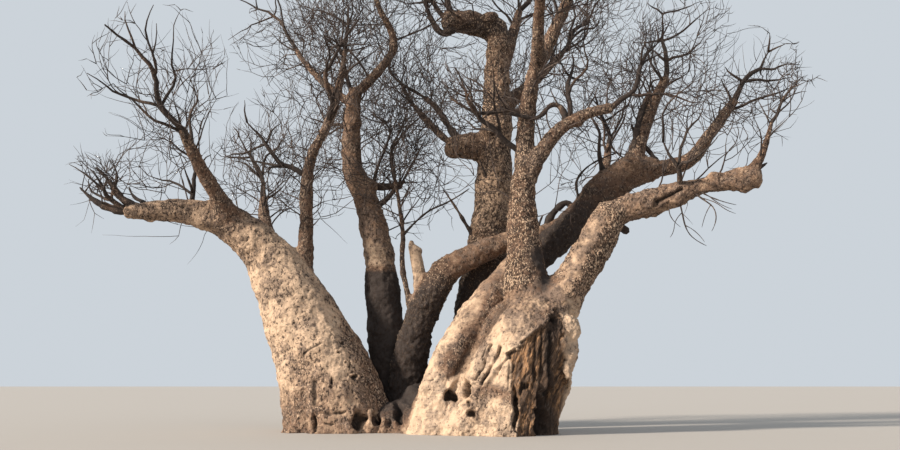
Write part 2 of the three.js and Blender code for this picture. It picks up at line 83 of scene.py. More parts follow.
# The limbs, as in the part's source: where each starts, its radii at foot and tip, and its runs of length,
# bearing and rise. Fullness keeps a limb thick for longer, flare and lobes widen and fold its foot, a dome
# closes in its top over that length, and bulges swell it at shares of its length.
LIMBS = {
    "right_trunk": dict(ground=(2.7, -1.3), foot=1.72, tip=1.62, flare=0.26, flare_height=0.9, lobes=0.07,
                        dome=1.5, runs=[(1.2, 0, 80), (3.6, 0, 67)]),
    "left_trunk": dict(ground=(-2.9, 0.5), foot=1.86, tip=0.93, fullness=1.35, flare=0.14, lobes=0.04,
                       runs=[(1.5, 180, 80), (3.0, 177, 63), (2.3, 180, 63)]),
    "back_trunk": dict(ground=(1.85, 2.2), foot=1.1, tip=0.43, flare=0.3, lobes=0.05,
                       runs=[(4.0, 0, 89), (2.8, 0, 78), (4.0, 0, 85), (5.3, 0, 89)]),
    "arched_stem": dict(ground=(-0.75, 1.2), foot=0.74, tip=0.52, flare=0.16, lobes=0.03,
                        runs=[(1.6, 0, 88), (3.0, 342, 76), (1.6, 350, 57)]),
    "leaning_stem": dict(ground=(0.6, -1.35), foot=0.86, tip=0.63, flare=0.22, lobes=0.04,
                         runs=[(1.3, 130, 84), (3.8, 26, 58), (2.3, 24, 42)]),
    "back_left_stem": dict(ground=(-1.1, 1.9), foot=0.82, tip=0.26, fullness=1.2, flare=0.2, lobes=0.03,
                           runs=[(5.8, 180, 86), (3.2, 180, 76), (1.7, 180, 62), (2.8, 0, 84)]),
    "middle_stem": dict(on="right_trunk", at=0.73, foot=0.77, tip=0.43,
                        runs=[(3.1, 180, 83), (2.4, 10, 86)]),
    "right_stem": dict(on="right_trunk", at=0.685, foot=0.68, tip=0.58,
                       runs=[(2.75, 353, 52), (2.55, 348, 61)]),
    "right_bough": dict(on="right_stem", at=0.98, foot=0.49, tip=0.3,
                        bulges=[(0.3, 0.16, 0.14), (0.62, -0.2, 0.14), (0.95, 0.24, 0.12)],
                        runs=[(1.2, 350, 17), (2.4, 346, 15), (1.3, 344, 2)]),
    "right_tip_bough": dict(on="right_bough", at=0.93, foot=0.19, tip=0.08,
                            runs=[(0.7, 340, 45), (0.7, 0, 66), (0.8, 0, 74)]),
    "leaning_bough": dict(on="leaning_stem", at=0.98, foot=0.61, tip=0.5, bulges=[(0.68, 0.16, 0.16)],
                          runs=[(2.4, 6, 38), (2.3, 0, 54), (1.6, 0, 10)]),
    "right_upper_bough": dict(on="leaning_bough", at=0.86, foot=0.34, tip=0.19,
                              runs=[(2.6, 0, 74), (1.4, 0, 58)]),
    "right_outer_bough": dict(on="leaning_bough", at=0.97, foot=0.34, tip=0.16,
                              runs=[(1.4, 345, -2), (1.4, 328, 52), (1.6, 335, 51)]),
    "leaning_rear_bough": dict(on="leaning_bough", at=0.55, foot=0.32, tip=0.13,
                               runs=[(2.3, 60, 38), (2.1, 75, 50)]),
    "middle_bough": dict(on="middle_stem", at=0.97, foot=0.37, tip=0.2,
                         runs=[(3.6, 0, 88), (1.8, 0, 60), (1.9, 0, 68)]),
    "middle_right_bough": dict(on="middle_stem", at=0.94, foot=0.32, tip=0.18,
                               runs=[(1.7, 345, 66), (1.7, 342, 36), (1.1, 348, 6)]),
    "middle_front_bough": dict(on="middle_bough", at=0.62, foot=0.26, tip=0.13,
                               runs=[(2.3, 262, 32), (2.3, 280, 38)]),
    "arched_bough": dict(on="arched_stem", at=0.98, foot=0.51, tip=0.13,
                         runs=[(1.8, 352, 30), (2.0, 5, 14), (1.6, 352, 26), (0.9, 354, 38)]),
    "broken_stub": dict(on="arched_stem", at=0.7, foot=0.35, tip=0.2,
                        runs=[(1.5, 120, 82), (1.0, 172, 74)]),
    "arched_side_bough": dict(on="arched_stem", at=0.55, foot=0.14, tip=0.07,
                              runs=[(1.6, 150, 78), (1.2, 175, 76), (1.4, 10, 85), (1.8, 190, 78)]),
    "left_bough": dict(on="left_trunk", at=0.97, foot=0.9, tip=0.25,
                       runs=[(1.7, 183, 46), (1.5, 196, 22), (1.6, 196, 2), (1.1, 188, -6)]),
    "left_shoot": dict(on="left_trunk", at=0.64, foot=0.34, tip=0.1,
                       runs=[(2.6, 0, 86), (3.2, 180, 87), (1.7, 0, 60), (1.5, 0, 75), (1.6, 0, 84)]),
    "left_back_bough": dict(on="left_trunk", at=0.93, foot=0.44, tip=0.18,
                            runs=[(2.4, 120, 42), (2.2, 105, 48)]),
    "left_front_bough": dict(on="left_bough", at=0.3, foot=0.4, tip=0.16,
                             runs=[(2.2, 235, 42), (2.2, 250, 46)]),
    "back_left_fork": dict(on="back_left_stem", at=0.98, foot=0.22, tip=0.09,
                           runs=[(2.1, 345, 41), (0.9, 290, 66), (1.4, 212, 52), (1.2, 190, 75)]),
    "back_left_bough": dict(on="back_left_stem", at=0.95, foot=0.18, tip=0.1,
                            runs=[(2.4, 166, 37), (1.4, 150, 60)]),
    "back_left_rear_bough": dict(on="back_left_stem", at=0.66, foot=0.27, tip=0.12,
                                 runs=[(2.2, 110, 38), (2.2, 95, 50)]),
    "back_stub": dict(on="back_trunk", at=0.672, foot=0.5, tip=0.42, runs=[(1.0, 188, 10), (0.8, 190, -6)]),
    "stub_bough": dict(on="back_stub", at=0.95, foot=0.17, tip=0.09, runs=[(1.6, 150, 42), (1.5, 135, 50)]),
    "top_left_bough": dict(on="back_trunk", at=0.975, foot=0.5, tip=0.44,
                           runs=[(0.7, 190, 48), (1.6, 190, -3)]),
    "top_bough": dict(on="back_trunk", at=0.85, foot=0.36, tip=0.16, runs=[(2.2, 20, 70), (1.4, 60, 66)]),
    "rear_bough": dict(on="back_trunk", at=0.652, foot=0.42, tip=0.16, runs=[(2.8, 80, 32), (2.6, 95, 42)]),
    "rear_right_bough": dict(on="back_trunk", at=0.77, foot=0.34, tip=0.14,
                             runs=[(2.4, 35, 38), (2.2, 25, 48)]),
    "trunk_foot": dict(ground=(0.0, 0.5), foot=2.1, tip=1.6, fullness=2, flare=0.1, lobes=0.05, dome=0.8,
                       runs=[(1.15, 0, 90)]),
}

# The masses of twigs, as in the source: the limb and share of its length that each grows from, the way it
# heads, and its reach.
MASSES = {
    "left_outer_twigs": dict(on="left_bough", heading=(186, 30), reach=1.6, seed=11),
    "left_low_twigs": dict(on="left_bough", at=0.62, heading=(170, 62), reach=2.0, seed=35),
    "left_shoot_twigs": dict(on="left_shoot", at=0.5, heading=(165, 44), reach=2.3, seed=12),
    "left_upper_twigs": dict(on="left_shoot", heading=(120, 74), reach=2.3, seed=13),
    "left_back_twigs": dict(on="left_back_bough", heading=(108, 50), reach=2.5, seed=14),
    "left_front_twigs": dict(on="left_front_bough", heading=(248, 48), reach=2.5, seed=15),
    "back_left_top_twigs": dict(on="back_left_fork", heading=(190, 70), reach=2.2, seed=16),
    "back_left_twigs": dict(on="back_left_bough", heading=(150, 48), reach=2.3, seed=17),
    "back_left_rear_twigs": dict(on="back_left_rear_bough", heading=(100, 44), reach=2.7, seed=18),
    "arched_side_twigs": dict(on="arched_side_bough", heading=(200, 70), reach=2.3, seed=19),
    "arched_front_twigs": dict(on="left_shoot", at=0.72, heading=(280, 40), reach=2.6, seed=36),
    "stub_twigs": dict(on="stub_bough", heading=(150, 44), reach=2.5, seed=20),
    "top_left_twigs": dict(on="top_left_bough", heading=(190, 56), reach=2.4, seed=21),
    "top_twigs": dict(on="top_bough", heading=(60, 70), reach=2.1, seed=22),
    "rear_twigs": dict(on="rear_bough", heading=(92, 40), reach=2.9, seed=23),
    "rear_right_twigs": dict(on="rear_right_bough", heading=(30, 44), reach=2.6, seed=24),
    "middle_twigs": dict(on="middle_bough", heading=(335, 62), reach=2.5, seed=25),
    "middle_right_twigs": dict(on="middle_right_bough", heading=(345, 34), reach=2.2, seed=26),
    "middle_riser_twigs": dict(on="middle_right_bough", at=0.66, heading=(355, 80), reach=2.3, seed=27),
    "middle_left_twigs": dict(on="middle_bough", at=0.14, heading=(200, 34), reach=2.4, seed=28),
    "middle_front_twigs": dict(on="middle_front_bough", heading=(275, 40), reach=2.8, seed=29),
    "right_upper_twigs": dict(on="right_upper_bough", heading=(20, 66), reach=2.3, seed=30),
    "right_outer_twigs": dict(on="right_outer_bough", heading=(330, 46), reach=1.7, seed=31),
    "right_tip_twigs": dict(on="right_tip_bough", heading=(0, 50), reach=1.1, seed=32),
    "right_rear_twigs": dict(on="leaning_rear_bough", heading=(68, 44), reach=2.7, seed=33),
    "right_front_twigs": dict(on="right_bough", at=0.5, heading=(285, 40), reach=2.4, seed=34),
}

# Crooked branches and stubs that are too slight for limbs of the source, in the same terms. Bare ones bear
# no twigs.
BRANCHES = {
    "knot_stub": dict(on="back_left_stem", at=0.7, foot=0.15, tip=0.13, runs=[(0.9, 0, -5), (0.75, 0, 8)]),
    "knot_prop": dict(on="back_left_stem", at=0.625, foot=0.12, tip=0.07,
                      runs=[(0.6, 340, 15), (0.9, 0, 52), (0.4, 0, 40)]),
    "knot_left_riser": dict(on="knot_stub", at=0.3, foot=0.07, tip=0.025,
                            runs=[(0.5, 330, 85), (1.5, 0, 68), (0.6, 0, 82), (0.9, 180, 30)]),
    "knot_right_riser": dict(on="knot_stub", at=0.85, foot=0.07, tip=0.02,
                             runs=[(1.1, 180, 75), (0.5, 0, 78), (1.3, 0, 54), (0.9, 0, 32)]),
    "knot_front_riser": dict(on="knot_stub", at=0.95, foot=0.045, tip=0.015,
                             runs=[(0.9, 330, 58), (0.6, 0, 60), (1.0, 0, 66)]),
    "fork_left_riser": dict(on="back_left_fork", at=0.16, foot=0.06, tip=0.02,
                            runs=[(0.6, 180, 66), (1.0, 180, 50), (0.6, 185, 42)]),
    "fork_right_reach": dict(on="back_left_fork", at=0.5, foot=0.05, tip=0.02,
                             runs=[(0.7, 0, 25), (0.9, 350, 18), (0.8, 350, 40)]),
    "fork_foot_riser": dict(on="back_left_stem", at=0.985, foot=0.07, tip=0.02,
                            runs=[(0.6, 185, 60), (1.2, 180, 70), (0.7, 190, 50)]),
    "pale_riser": dict(on="back_left_stem", at=0.97, foot=0.1, tip=0.03,
                       runs=[(1.0, 190, 70), (1.0, 180, 82), (0.8, 195, 60)]),
    "side_reach": dict(on="arched_side_bough", at=0.65, foot=0.05, tip=0.02,
                       runs=[(1.2, 0, 50), (1.1, 0, 20), (0.9, 0, 36)]),
    "trunk_side_branch": dict(on="back_trunk", at=0.43, foot=0.12, tip=0.02,
                              runs=[(0.8, 215, 25), (1.4, 180, 61), (0.8, 180, 54)]),
    "trunk_front_twig": dict(on="back_trunk", at=0.56, foot=0.06, tip=0.015,
                             runs=[(0.9, 250, 30), (1.2, 185, 70)]),
    "crossing_branch": dict(on="middle_bough", at=0.35, foot=0.1, tip=0.03,
                            runs=[(0.7, 195, 15), (0.9, 195, -20), (0.7, 200, 5), (0.8, 190, 35)]),
    "stub_riser": dict(on="back_stub", at=0.75, foot=0.15, tip=0.04,
                       runs=[(1.3, 175, 57), (0.7, 180, 62), (1.1, 185, 33), (0.6, 190, 25)]),
    "top_riser": dict(on="top_left_bough", at=0.9, foot=0.13, tip=0.06,
                      runs=[(0.7, 190, 74), (1.0, 185, 72)]),
    "top_curl": dict(on="top_left_bough", at=0.8, foot=0.15, tip=0.06,
                     runs=[(0.6, 205, -60), (0.5, 190, -15), (0.9, 180, 62), (0.7, 180, 74),
                           (0.9, 20, 76)]),
    "loop": dict(on="middle_right_bough", at=0.62, foot=0.12, tip=0.05,
                 runs=[(0.6, 150, 85), (0.5, 180, 25), (0.55, 185, -55), (0.4, 180, -30), (0.9, 180, 18)]),
    "lying_stub": dict(bare=True, on="arched_bough", at=0.66, foot=0.15, tip=0.11,
                       runs=[(0.45, 0, 78), (0.8, 0, 46), (0.25, 0, 0), (0.35, 0, -62)]),
    "lying_spike": dict(bare=True, on="arched_bough", at=0.6, foot=0.07, tip=0.02,
                        runs=[(0.4, 300, 70), (0.35, 0, 60)]),
    "curved_twig": dict(on="leaning_bough", at=0.47, foot=0.06, tip=0.02,
                        runs=[(0.9, 200, 72), (0.5, 0, 84), (0.9, 0, 44), (0.9, 0, 20)]),
    "elbow_riser": dict(on="leaning_bough", at=0.7, foot=0.11, tip=0.04,
                        runs=[(0.9, 190, 72), (0.7, 180, 88), (0.6, 0, 80), (0.6, 180, 55)]),
    "upper_twin": dict(on="leaning_bough", at=0.84, foot=0.2, tip=0.08,
                       runs=[(0.9, 335, 72), (0.9, 0, 80), (0.9, 0, 76), (0.7, 0, 62)]),
    "left_end_riser": dict(on="left_bough", at=0.93, foot=0.17, tip=0.04,
                           runs=[(0.8, 190, 30), (0.9, 180, 58), (0.7, 170, 40)]),
    "left_end_reach": dict(on="left_bough", at=0.985, foot=0.2, tip=0.04,
                           runs=[(0.6, 180, 5), (0.8, 195, 22), (0.7, 180, 45)]),
    "left_end_rear_branch": dict(on="left_bough", at=0.88, foot=0.13, tip=0.03,
                                 runs=[(0.7, 120, 35), (0.8, 150, 20), (0.6, 130, 50)]),
    "outer_branch": dict(on="right_outer_bough", at=0.12, foot=0.12, tip=0.05,
                         runs=[(0.9, 160, 60), (0.6, 180, 45), (0.6, 190, 70)]),
    "hanging_knob": dict(bare=True, on="right_stem", at=0.9, foot=0.17, tip=0.11,
                         runs=[(0.7, 20, 0), (0.3, 0, -60)]),
    "end_snag": dict(bare=True, on="right_bough", at=0.93, foot=0.17, tip=0.03,
                     runs=[(0.6, 350, 35), (0.35, 0, 33)]),
    "first_drooper": dict(bare=True, on="right_bough", at=0.56, foot=0.035, tip=0.01,
                          runs=[(0.7, 300, -38), (0.5, 0, -35), (0.5, 0, -85), (0.4, 200, -55)]),
    "second_drooper": dict(bare=True, on="right_bough", at=0.47, foot=0.035, tip=0.01,
                           runs=[(0.6, 280, -60), (0.8, 10, -82), (0.5, 0, -50), (0.4, 0, -25)]),
    "third_drooper": dict(bare=True, on="right_bough", at=0.6, foot=0.03, tip=0.01,
                          runs=[(0.8, 300, -40), (0.9, 0, -12)]),
    "fourth_drooper": dict(bare=True, on="right_bough", at=0.44, foot=0.025, tip=0.01,
                           runs=[(0.6, 230, -50), (0.5, 320, -80), (0.4, 350, -40)]),
    "first_side_drooper": dict(bare=True, on="first_drooper", at=0.3, foot=0.018, tip=0.008,
                               runs=[(0.5, 320, -20), (0.5, 340, -45), (0.3, 350, -20)]),
    "first_low_drooper": dict(bare=True, on="first_drooper", at=0.5, foot=0.016, tip=0.008,
                              runs=[(0.4, 200, -50), (0.5, 190, -75)]),
    "second_side_drooper": dict(bare=True, on="second_drooper", at=0.35, foot=0.018, tip=0.008,
                                runs=[(0.4, 200, -40), (0.5, 240, -70), (0.3, 220, -40)]),
    "second_low_drooper": dict(bare=True, on="second_drooper", at=0.55, foot=0.016, tip=0.008,
                               runs=[(0.4, 350, -25), (0.5, 330, -60)]),
    "third_side_drooper": dict(bare=True, on="third_drooper", at=0.4, foot=0.016, tip=0.008,
                               runs=[(0.5, 330, -45), (0.4, 350, -20)]),
}

# Limbs that are grown together are modelled as one skin of bark. A skin of boughs overlaps the end of the
# stem that bears them.
BARK_PIECES = {
    "left_stem_bark": dict(
        slot="stem_bark",
        limbs=["left_trunk", "left_bough", "left_shoot", "left_back_bough", "left_front_bough"],
    ),
    "right_stem_bark": dict(
        slot="stem_bark", limbs=["right_trunk", "leaning_stem", "trunk_foot", "middle_stem", "right_stem"],
    ),
    "back_left_stem_bark": dict(
        slot="stem_bark",
        limbs=["back_left_stem", "back_left_fork", "back_left_bough", "back_left_rear_bough"],
    ),
    "arched_stem_bark": dict(
        slot="stem_bark", limbs=["arched_stem", "arched_bough", "broken_stub", "arched_side_bough"],
    ),
    "back_stem_bark": dict(
        slot="stem_bark",
        limbs=["back_trunk", "back_stub", "stub_bough", "top_left_bough", "top_bough", "rear_bough",
               "rear_right_bough"],
    ),
    "leaning_boughs_bark": dict(
        slot="bough_bark", borne_by="leaning_stem",
        limbs=["leaning_bough", "right_upper_bough", "right_outer_bough", "leaning_rear_bough"],
    ),
    "right_boughs_bark": dict(
        slot="bough_bark", borne_by="right_stem", limbs=["right_bough", "right_tip_bough"],
    ),
    "middle_boughs_bark": dict(
        slot="bough_bark", borne_by="middle_stem",
        limbs=["middle_bough", "middle_right_bough", "middle_front_bough"],
    ),
}
OVERLAP = 0.9  # length of a stem's end that the skin of its boughs covers
OVERLAP_FADE = 0.45  # length over which the two skins cross

# Rounded swellings that are grown into the skin of a piece: centre, and radii to the right, back and up.
SWELLINGS = {
    "right_stem_bark": [
        ((1.35, -1.75, 0.05), (1.0, 0.75, 0.8)), ((2.2, -2.45, 0.2), (0.62, 0.5, 0.8)),
        ((4.95, -2.2, 3.4), (0.36, 0.4, 0.5)), ((4.95, -2.2, 2.75), (0.3, 0.36, 0.42)),
        ((4.85, -2.25, 2.1), (0.18, 0.24, 0.6)),
        ((-0.55, -0.95, 0.0), (0.22, 0.4, 0.5)), ((-0.1, -1.2, 0.0), (0.25, 0.35, 0.35)),
    ],
    "left_stem_bark": [
        ((-4.4, -0.85, 0.0), (0.4, 0.35, 0.3)), ((-3.4, -1.25, 0.0), (0.5, 0.3, 0.22)),
        ((-2.3, -1.15, 0.0), (0.3, 0.4, 0.5)), ((-1.65, -0.85, 0.0), (0.25, 0.45, 0.8)),
        ((-1.2, -0.75, 0.0), (0.25, 0.5, 0.6)), ((-9.9, -0.1, 7.75), (0.3, 0.3, 0.34)),
    ],
    "arched_stem_bark": [
        ((-0.45, 1.2, 6.75), (0.12, 0.14, 0.24)), ((-0.18, 1.2, 6.55), (0.14, 0.14, 0.18)),
        ((0.85, 0.75, 5.7), (0.4, 0.34, 0.34)),
    ],
    "back_left_stem_bark": [
        ((-2.2, 1.75, 9.2), (0.42, 0.36, 0.34)), ((-2.75, 1.75, 11.75), (0.3, 0.28, 0.26)),
    ],
    "back_stem_bark": [
        ((1.15, 1.9, 10.75), (0.4, 0.4, 0.42)), ((1.0, 1.85, 16.0), (0.4, 0.4, 0.4)),
        ((2.6, 1.8, 16.1), (0.4, 0.34, 0.34)), ((2.55, 1.9, 11.4), (0.4, 0.5, 0.4)),
    ],
    "leaning_boughs_bark": [
        ((7.75, 0.35, 9.6), (0.55, 0.5, 0.42)), ((8.6, 0.3, 9.55), (0.4, 0.42, 0.36)),
    ],
    "right_boughs_bark": [
        ((10.85, -2.78, 8.22), (0.34, 0.36, 0.28)), ((8.55, -2.3, 7.82), (0.55, 0.3, 0.26)),
        ((7.2, -1.95, 7.78), (0.42, 0.42, 0.36)), ((9.95, -2.6, 8.5), (0.35, 0.3, 0.2)),
        ((11.25, -2.85, 8.65), (0.22, 0.26, 0.26)),
    ],
    "middle_boughs_bark": [
        ((5.5, -1.8, 10.75), (0.26, 0.24, 0.26)), ((6.5, -2.05, 11.1), (0.26, 0.22, 0.2)),
    ],
}

# Parts of the front where the skin is modelled twice as finely: lowest and highest corner.
FINE_PARTS = [((-5.9, -2.0, 0.0), (-1.0, 0.2, 4.0)), ((0.2, -3.7, 0.0), (5.7, -1.4, 4.7))]

# The edge of the living bark on the right trunk: below and right of it the old wood is bare.
LIP = [(4.9, -2.4, 4.55), (4.15, -2.97, 3.71), (3.47, -2.95, 3.08), (3.06, -2.85, 2.77),
       (2.74, -2.78, 2.37), (2.33, -2.7, 1.88), (1.95, -2.66, 1.45)]
# The side edges of the bare wood: height and place to the right.
WOOD_LEFT_EDGE = [(0.0, 3.0), (0.7, 3.15), (1.2, 3.0), (1.6, 2.8), (2.3, 2.84), (2.9, 2.7)]
WOOD_RIGHT_EDGE = [(1.0, 5.9), (1.9, 4.8), (3.9, 4.72), (4.4, 4.5)]
# The groove between the leaning stem and the right trunk.
GROOVE = [(2.85, -2.1, 4.4), (2.2, -1.95, 3.4), (1.68, -1.75, 2.76), (1.25, -1.95, 1.95)]
# Hollows: centre, half width, half height and depth.
HOLLOWS = [
    ((1.02, -2.0, 1.22), 0.22, 0.2, 0.34),
    ((1.53, -2.35, 1.52), 0.17, 0.32, 0.36),
    ((1.69, -2.72, 0.74), 0.15, 0.14, 0.2),
    ((1.62, -2.6, 1.05), 0.09, 0.16, 0.12),
    ((3.06, -3.1, 0.8), 0.13, 0.85, 0.26),
    ((3.95, -2.85, 0.6), 0.3, 0.85, 0.28),
    ((3.45, -3.1, 1.5), 0.2, 0.12, 0.1),
    ((4.35, -2.9, 3.75), 0.2, 0.12, 0.16),
    ((4.25, -2.85, 1.3), 0.2, 0.5, 0.16),
    ((-2.44, -0.82, 2.24), 0.055, 0.18, 0.14),
    ((-2.29, -0.84, 1.84), 0.09, 0.08, 0.12),
    ((-2.84, -0.95, 2.63), 0.05, 0.05, 0.07),
    ((-2.62, -0.9, 2.34), 0.05, 0.04, 0.07),
    ((-2.98, -1.25, 1.72), 0.06, 0.12, 0.08),
    ((-3.05, -1.3, 1.5), 0.09, 0.05, 0.08),
    ((-2.05, -1.15, 0.45), 0.27, 0.36, 0.26),
    ((-1.5, -0.95, 0.5), 0.15, 0.26, 0.24),
    ((-0.75, -0.95, 0.75), 0.24, 0.55, 0.3),
    ((-1.12, -0.85, 0.35), 0.1, 0.2, 0.12),
    ((-3.56, -1.22, 0.3), 0.1, 0.3, 0.12),
    ((0.3, -1.85, 1.42), 0.06, 0.05, 0.07),
]
# Cracks and ridges: the line each follows, its half width and its depth, or height below zero.
CRACKS = [
    ([(2.36, -2.42, 2.9), (2.12, -2.42, 2.35), (1.82, -2.46, 1.8)], 0.05, 0.16),
    ([(2.68, -2.58, 2.8), (2.4, -2.56, 2.25), (2.05, -2.58, 1.65)], 0.055, 0.17),
    ([(2.9, -2.7, 2.5), (2.62, -2.66, 2.1), (2.27, -2.62, 1.6)], 0.045, 0.13),
    ([(2.5, -2.5, 2.75), (2.3, -2.5, 2.3)], 0.03, 0.06),
    ([(2.25, -2.45, 2.9), (2.02, -2.42, 2.5)], 0.03, 0.05),
    ([(8.0, -2.5, 7.66), (8.35, -2.55, 7.86), (8.8, -2.6, 8.1)], 0.07, 0.14),
    ([(4.7, -2.9, 3.16), (5.0, -2.8, 3.06), (5.35, -2.7, 3.14)], 0.05, 0.13),
    ([(4.8, -2.9, 3.5), (5.15, -2.75, 3.6)], 0.04, 0.08),
    ([(4.75, -2.9, 2.75), (4.95, -2.8, 2.6), (5.1, -2.7, 2.72)], 0.04, 0.07),
    ([(-4.35, -1.2, 0.72), (-3.7, -1.3, 0.68)], 0.05, 0.06),
    ([(-3.5, -1.4, 0.3), (-2.7, -1.5, 0.34)], 0.04, 0.06),
    ([(-3.3, -1.1, 3.1), (-3.9, -1.1, 2.75), (-4.3, -1.0, 2.3)], 0.05, 0.05),
    ([(0.83, -2.0, 1.3), (1.0, -1.9, 1.62), (1.38, -1.95, 1.95), (1.68, -2.3, 1.8), (1.85, -2.6, 1.42)],
     0.1, -0.1),
    ([(-3.5, -1.3, 0.66), (-3.0, -1.45, 0.64), (-2.55, -1.38, 0.74)], 0.05, 0.07),
    ([(-3.64, -1.2, 1.7), (-3.6, -1.2, 0.95)], 0.1, 0.06),
    ([(-0.15, -1.5, 1.8), (0.1, -1.75, 1.72), (0.45, -1.85, 1.78)], 0.04, 0.05),
    ([(3.3, -3.1, 2.9), (3.25, -3.1, 1.3)], 0.07, 0.07),
    ([(3.75, -3.05, 3.2), (3.72, -3.05, 1.5)], 0.07, 0.08),
    ([(4.3, -2.9, 3.3), (4.25, -2.8, 1.2), (4.2, -2.6, 0.1)], 0.09, 0.1),
    ([(3.78, -2.95, 1.6), (3.75, -2.95, 0.1)], 0.09, -0.1),
    ([(4.12, -2.8, 2.2), (4.08, -2.75, 0.1)], 0.07, -0.1),
    ([(3.95, -2.95, 3.3), (3.95, -2.9, 2.0)], 0.06, 0.07),
    ([(3.5, -3.0, 3.0), (3.5, -3.05, 2.0)], 0.05, -0.05),
    ([(2.9, -2.95, 2.35), (2.85, -3.0, 1.5)], 0.05, 0.05),
    ([(4.62, -2.75, 3.9), (4.68, -2.65, 3.0), (4.66, -2.4, 2.0), (4.62, -2.2, 0.1)], 0.1, -0.09),
    ([(-2.28, -1.25, 0.8), (-2.3, -1.3, 0.05)], 0.07, -0.07),
    ([(-1.72, -1.05, 0.9), (-1.75, -1.1, 0.05)], 0.08, -0.1),
    ([(-1.3, -0.95, 0.8), (-1.25, -1.15, 0.05)], 0.07, -0.08),
]

# The twigs' rule, level by level: the first three as in the source, then ever finer ones. Crook is how far
# each knee turns at random.
TWIG_LEVELS = [
    dict(knees=4, children=2, length=1.7, crook=0.42),
    dict(knees=2, children=1, length=0.6, crook=0.42),
    dict(knees=2, children=2, length=0.55, crook=0.42),
    dict(knees=5, children=1, length=1.8, crook=0.24),
    dict(knees=4, children=0, length=0.75, crook=0.22),
]
TWIG_SPREAD = 52  # angle between a side twig and its parent
SPREAD_ALONG = (1.1, 0.35)  # share of that angle at the parent's foot, and how much less at its tip
LENGTH_ALONG = (1.15, 0.5)  # the same for the side twig's length
TWIG_LIFT = 0.1  # how far each knee turns upwards
TWIG_THINNING = 0.62  # radius of a side twig as a share of its parent there
TWIG_TAPER = 0.45  # radius at a twig's tip as a share of its foot
TIP_START = 0.6  # share of a twig's length from which its tip thins further
TIP_THINNING = 0.5  # how much thinner the tip gets by this
THICKEST_TWIG = 0.11  # greatest radius of a mass's stem
STEM_SHARE = 0.82  # greatest radius of a mass's stem as a share of its limb's
THINNEST_TWIGS = [0.018, 0.018, 0.018, 0.013]  # least radius of the side twigs of each level
GOLDEN_ANGLE = 137.5  # turn from one side twig to the next round its parent
SPACE_AHEAD = 0.8  # length of the core of a mass's space as a share of its reach
SPACE_MARGIN = 0.03  # clearance of a twig from limbs and from the next mass's space
PROBE_STEP = 0.15  # spacing of the points at which a twig is tested against the limbs
LAST_STRICT_LEVEL = 2  # finer twigs may cross into the next mass's space
ROOM_AT_ROOT = 2.3  # fine twigs may also grow this far from where their stem leaves its limb
ROOM_OUTSIDE = 0.15  # how far fine twigs may grow beyond the box round the source's solids
LIMB_CLEARANCE = 1.1  # clearance from a limb's middle line as a share of its radius
TIP_LEVEL = 1  # level of the further branches round a blunt tip
SHOOT_LEVEL = 2  # level of the short shoots along the boughs
# Both kinds of further twigs: how far they lean along their limb, their length and greatest radius, and the
# seed of the first limb's.
SHOOTS = {
    TIP_LEVEL: dict(lean=0.9, length=2.2, radius=0.06, seed=5000),
    SHOOT_LEVEL: dict(lean=0.6, length=1.7, radius=0.035, seed=1000),
}
TIP_BRANCHES = 3  # further branches round a blunt tip
TIP_ZONE = (0.12, 0.9)  # how far before the tip they start
SHOOT_START = 0.25  # share of a bough's length from which it has shoots
SHOOT_STEP = 0.26  # spacing of the shoots along a bough
SHOOT_SHARE = 0.4  # greatest radius of a shoot as a share of its limb's
LIMB_TURN = 40  # how far the shoots of each limb are turned from the last one's
LOWEST_SHOOT = 6.6  # height above which boughs have shoots
THICKEST_SHOOTING = 0.62  # radius of the thickest limb that has shoots
DROOPING_SHARE = 0.08  # share of the shoots that may hang below their bough
STEEPEST_DROP = -0.1  # how far the others may head downwards
COARSE_LEVELS = 2  # levels that are drawn with the branches
ROUNDING = [4, 4, 3, 2, 2]  # pieces that each run of a twig is drawn in, level by level
TWIG_SIDES = [8, 8, 4, 3, 3]  # sides of the tubes, level by level
BRANCH_SIDES = 10  # sides of a crooked branch
BRANCH_END = 0.6  # share of its radius that a branch keeps at its very end
BRANCH_KNOBS = [(0.3, 0.3, 91), (0.2, 0.14, 93)]  # height as a share of the radius, size and seed
# The bends of twigs: their spacing, how far they swing to the side, and a seed.
BENDS = [(1.3, 0.22, 61), (0.5, 0.05, 64)]
BEND_FADE = (0.15, 1.3)  # distances from a twig's root between which the bends set in

# The masses that share a joined piece.
TWIG_PIECES = {
    "left": ["left_outer_twigs", "left_low_twigs", "left_shoot_twigs", "left_back_twigs",
             "left_front_twigs"],
    "back_left": ["left_upper_twigs", "back_left_top_twigs", "back_left_twigs"],
    "arched": ["back_left_rear_twigs", "arched_side_twigs", "arched_front_twigs"],
    "back": ["stub_twigs", "top_left_twigs", "top_twigs"],
    "rear": ["rear_twigs", "rear_right_twigs"],
    "middle": ["middle_twigs", "middle_right_twigs", "middle_riser_twigs", "middle_left_twigs",
               "middle_front_twigs"],
    "right": ["right_upper_twigs", "right_outer_twigs", "right_tip_twigs", "right_rear_twigs",
              "right_front_twigs"],
}

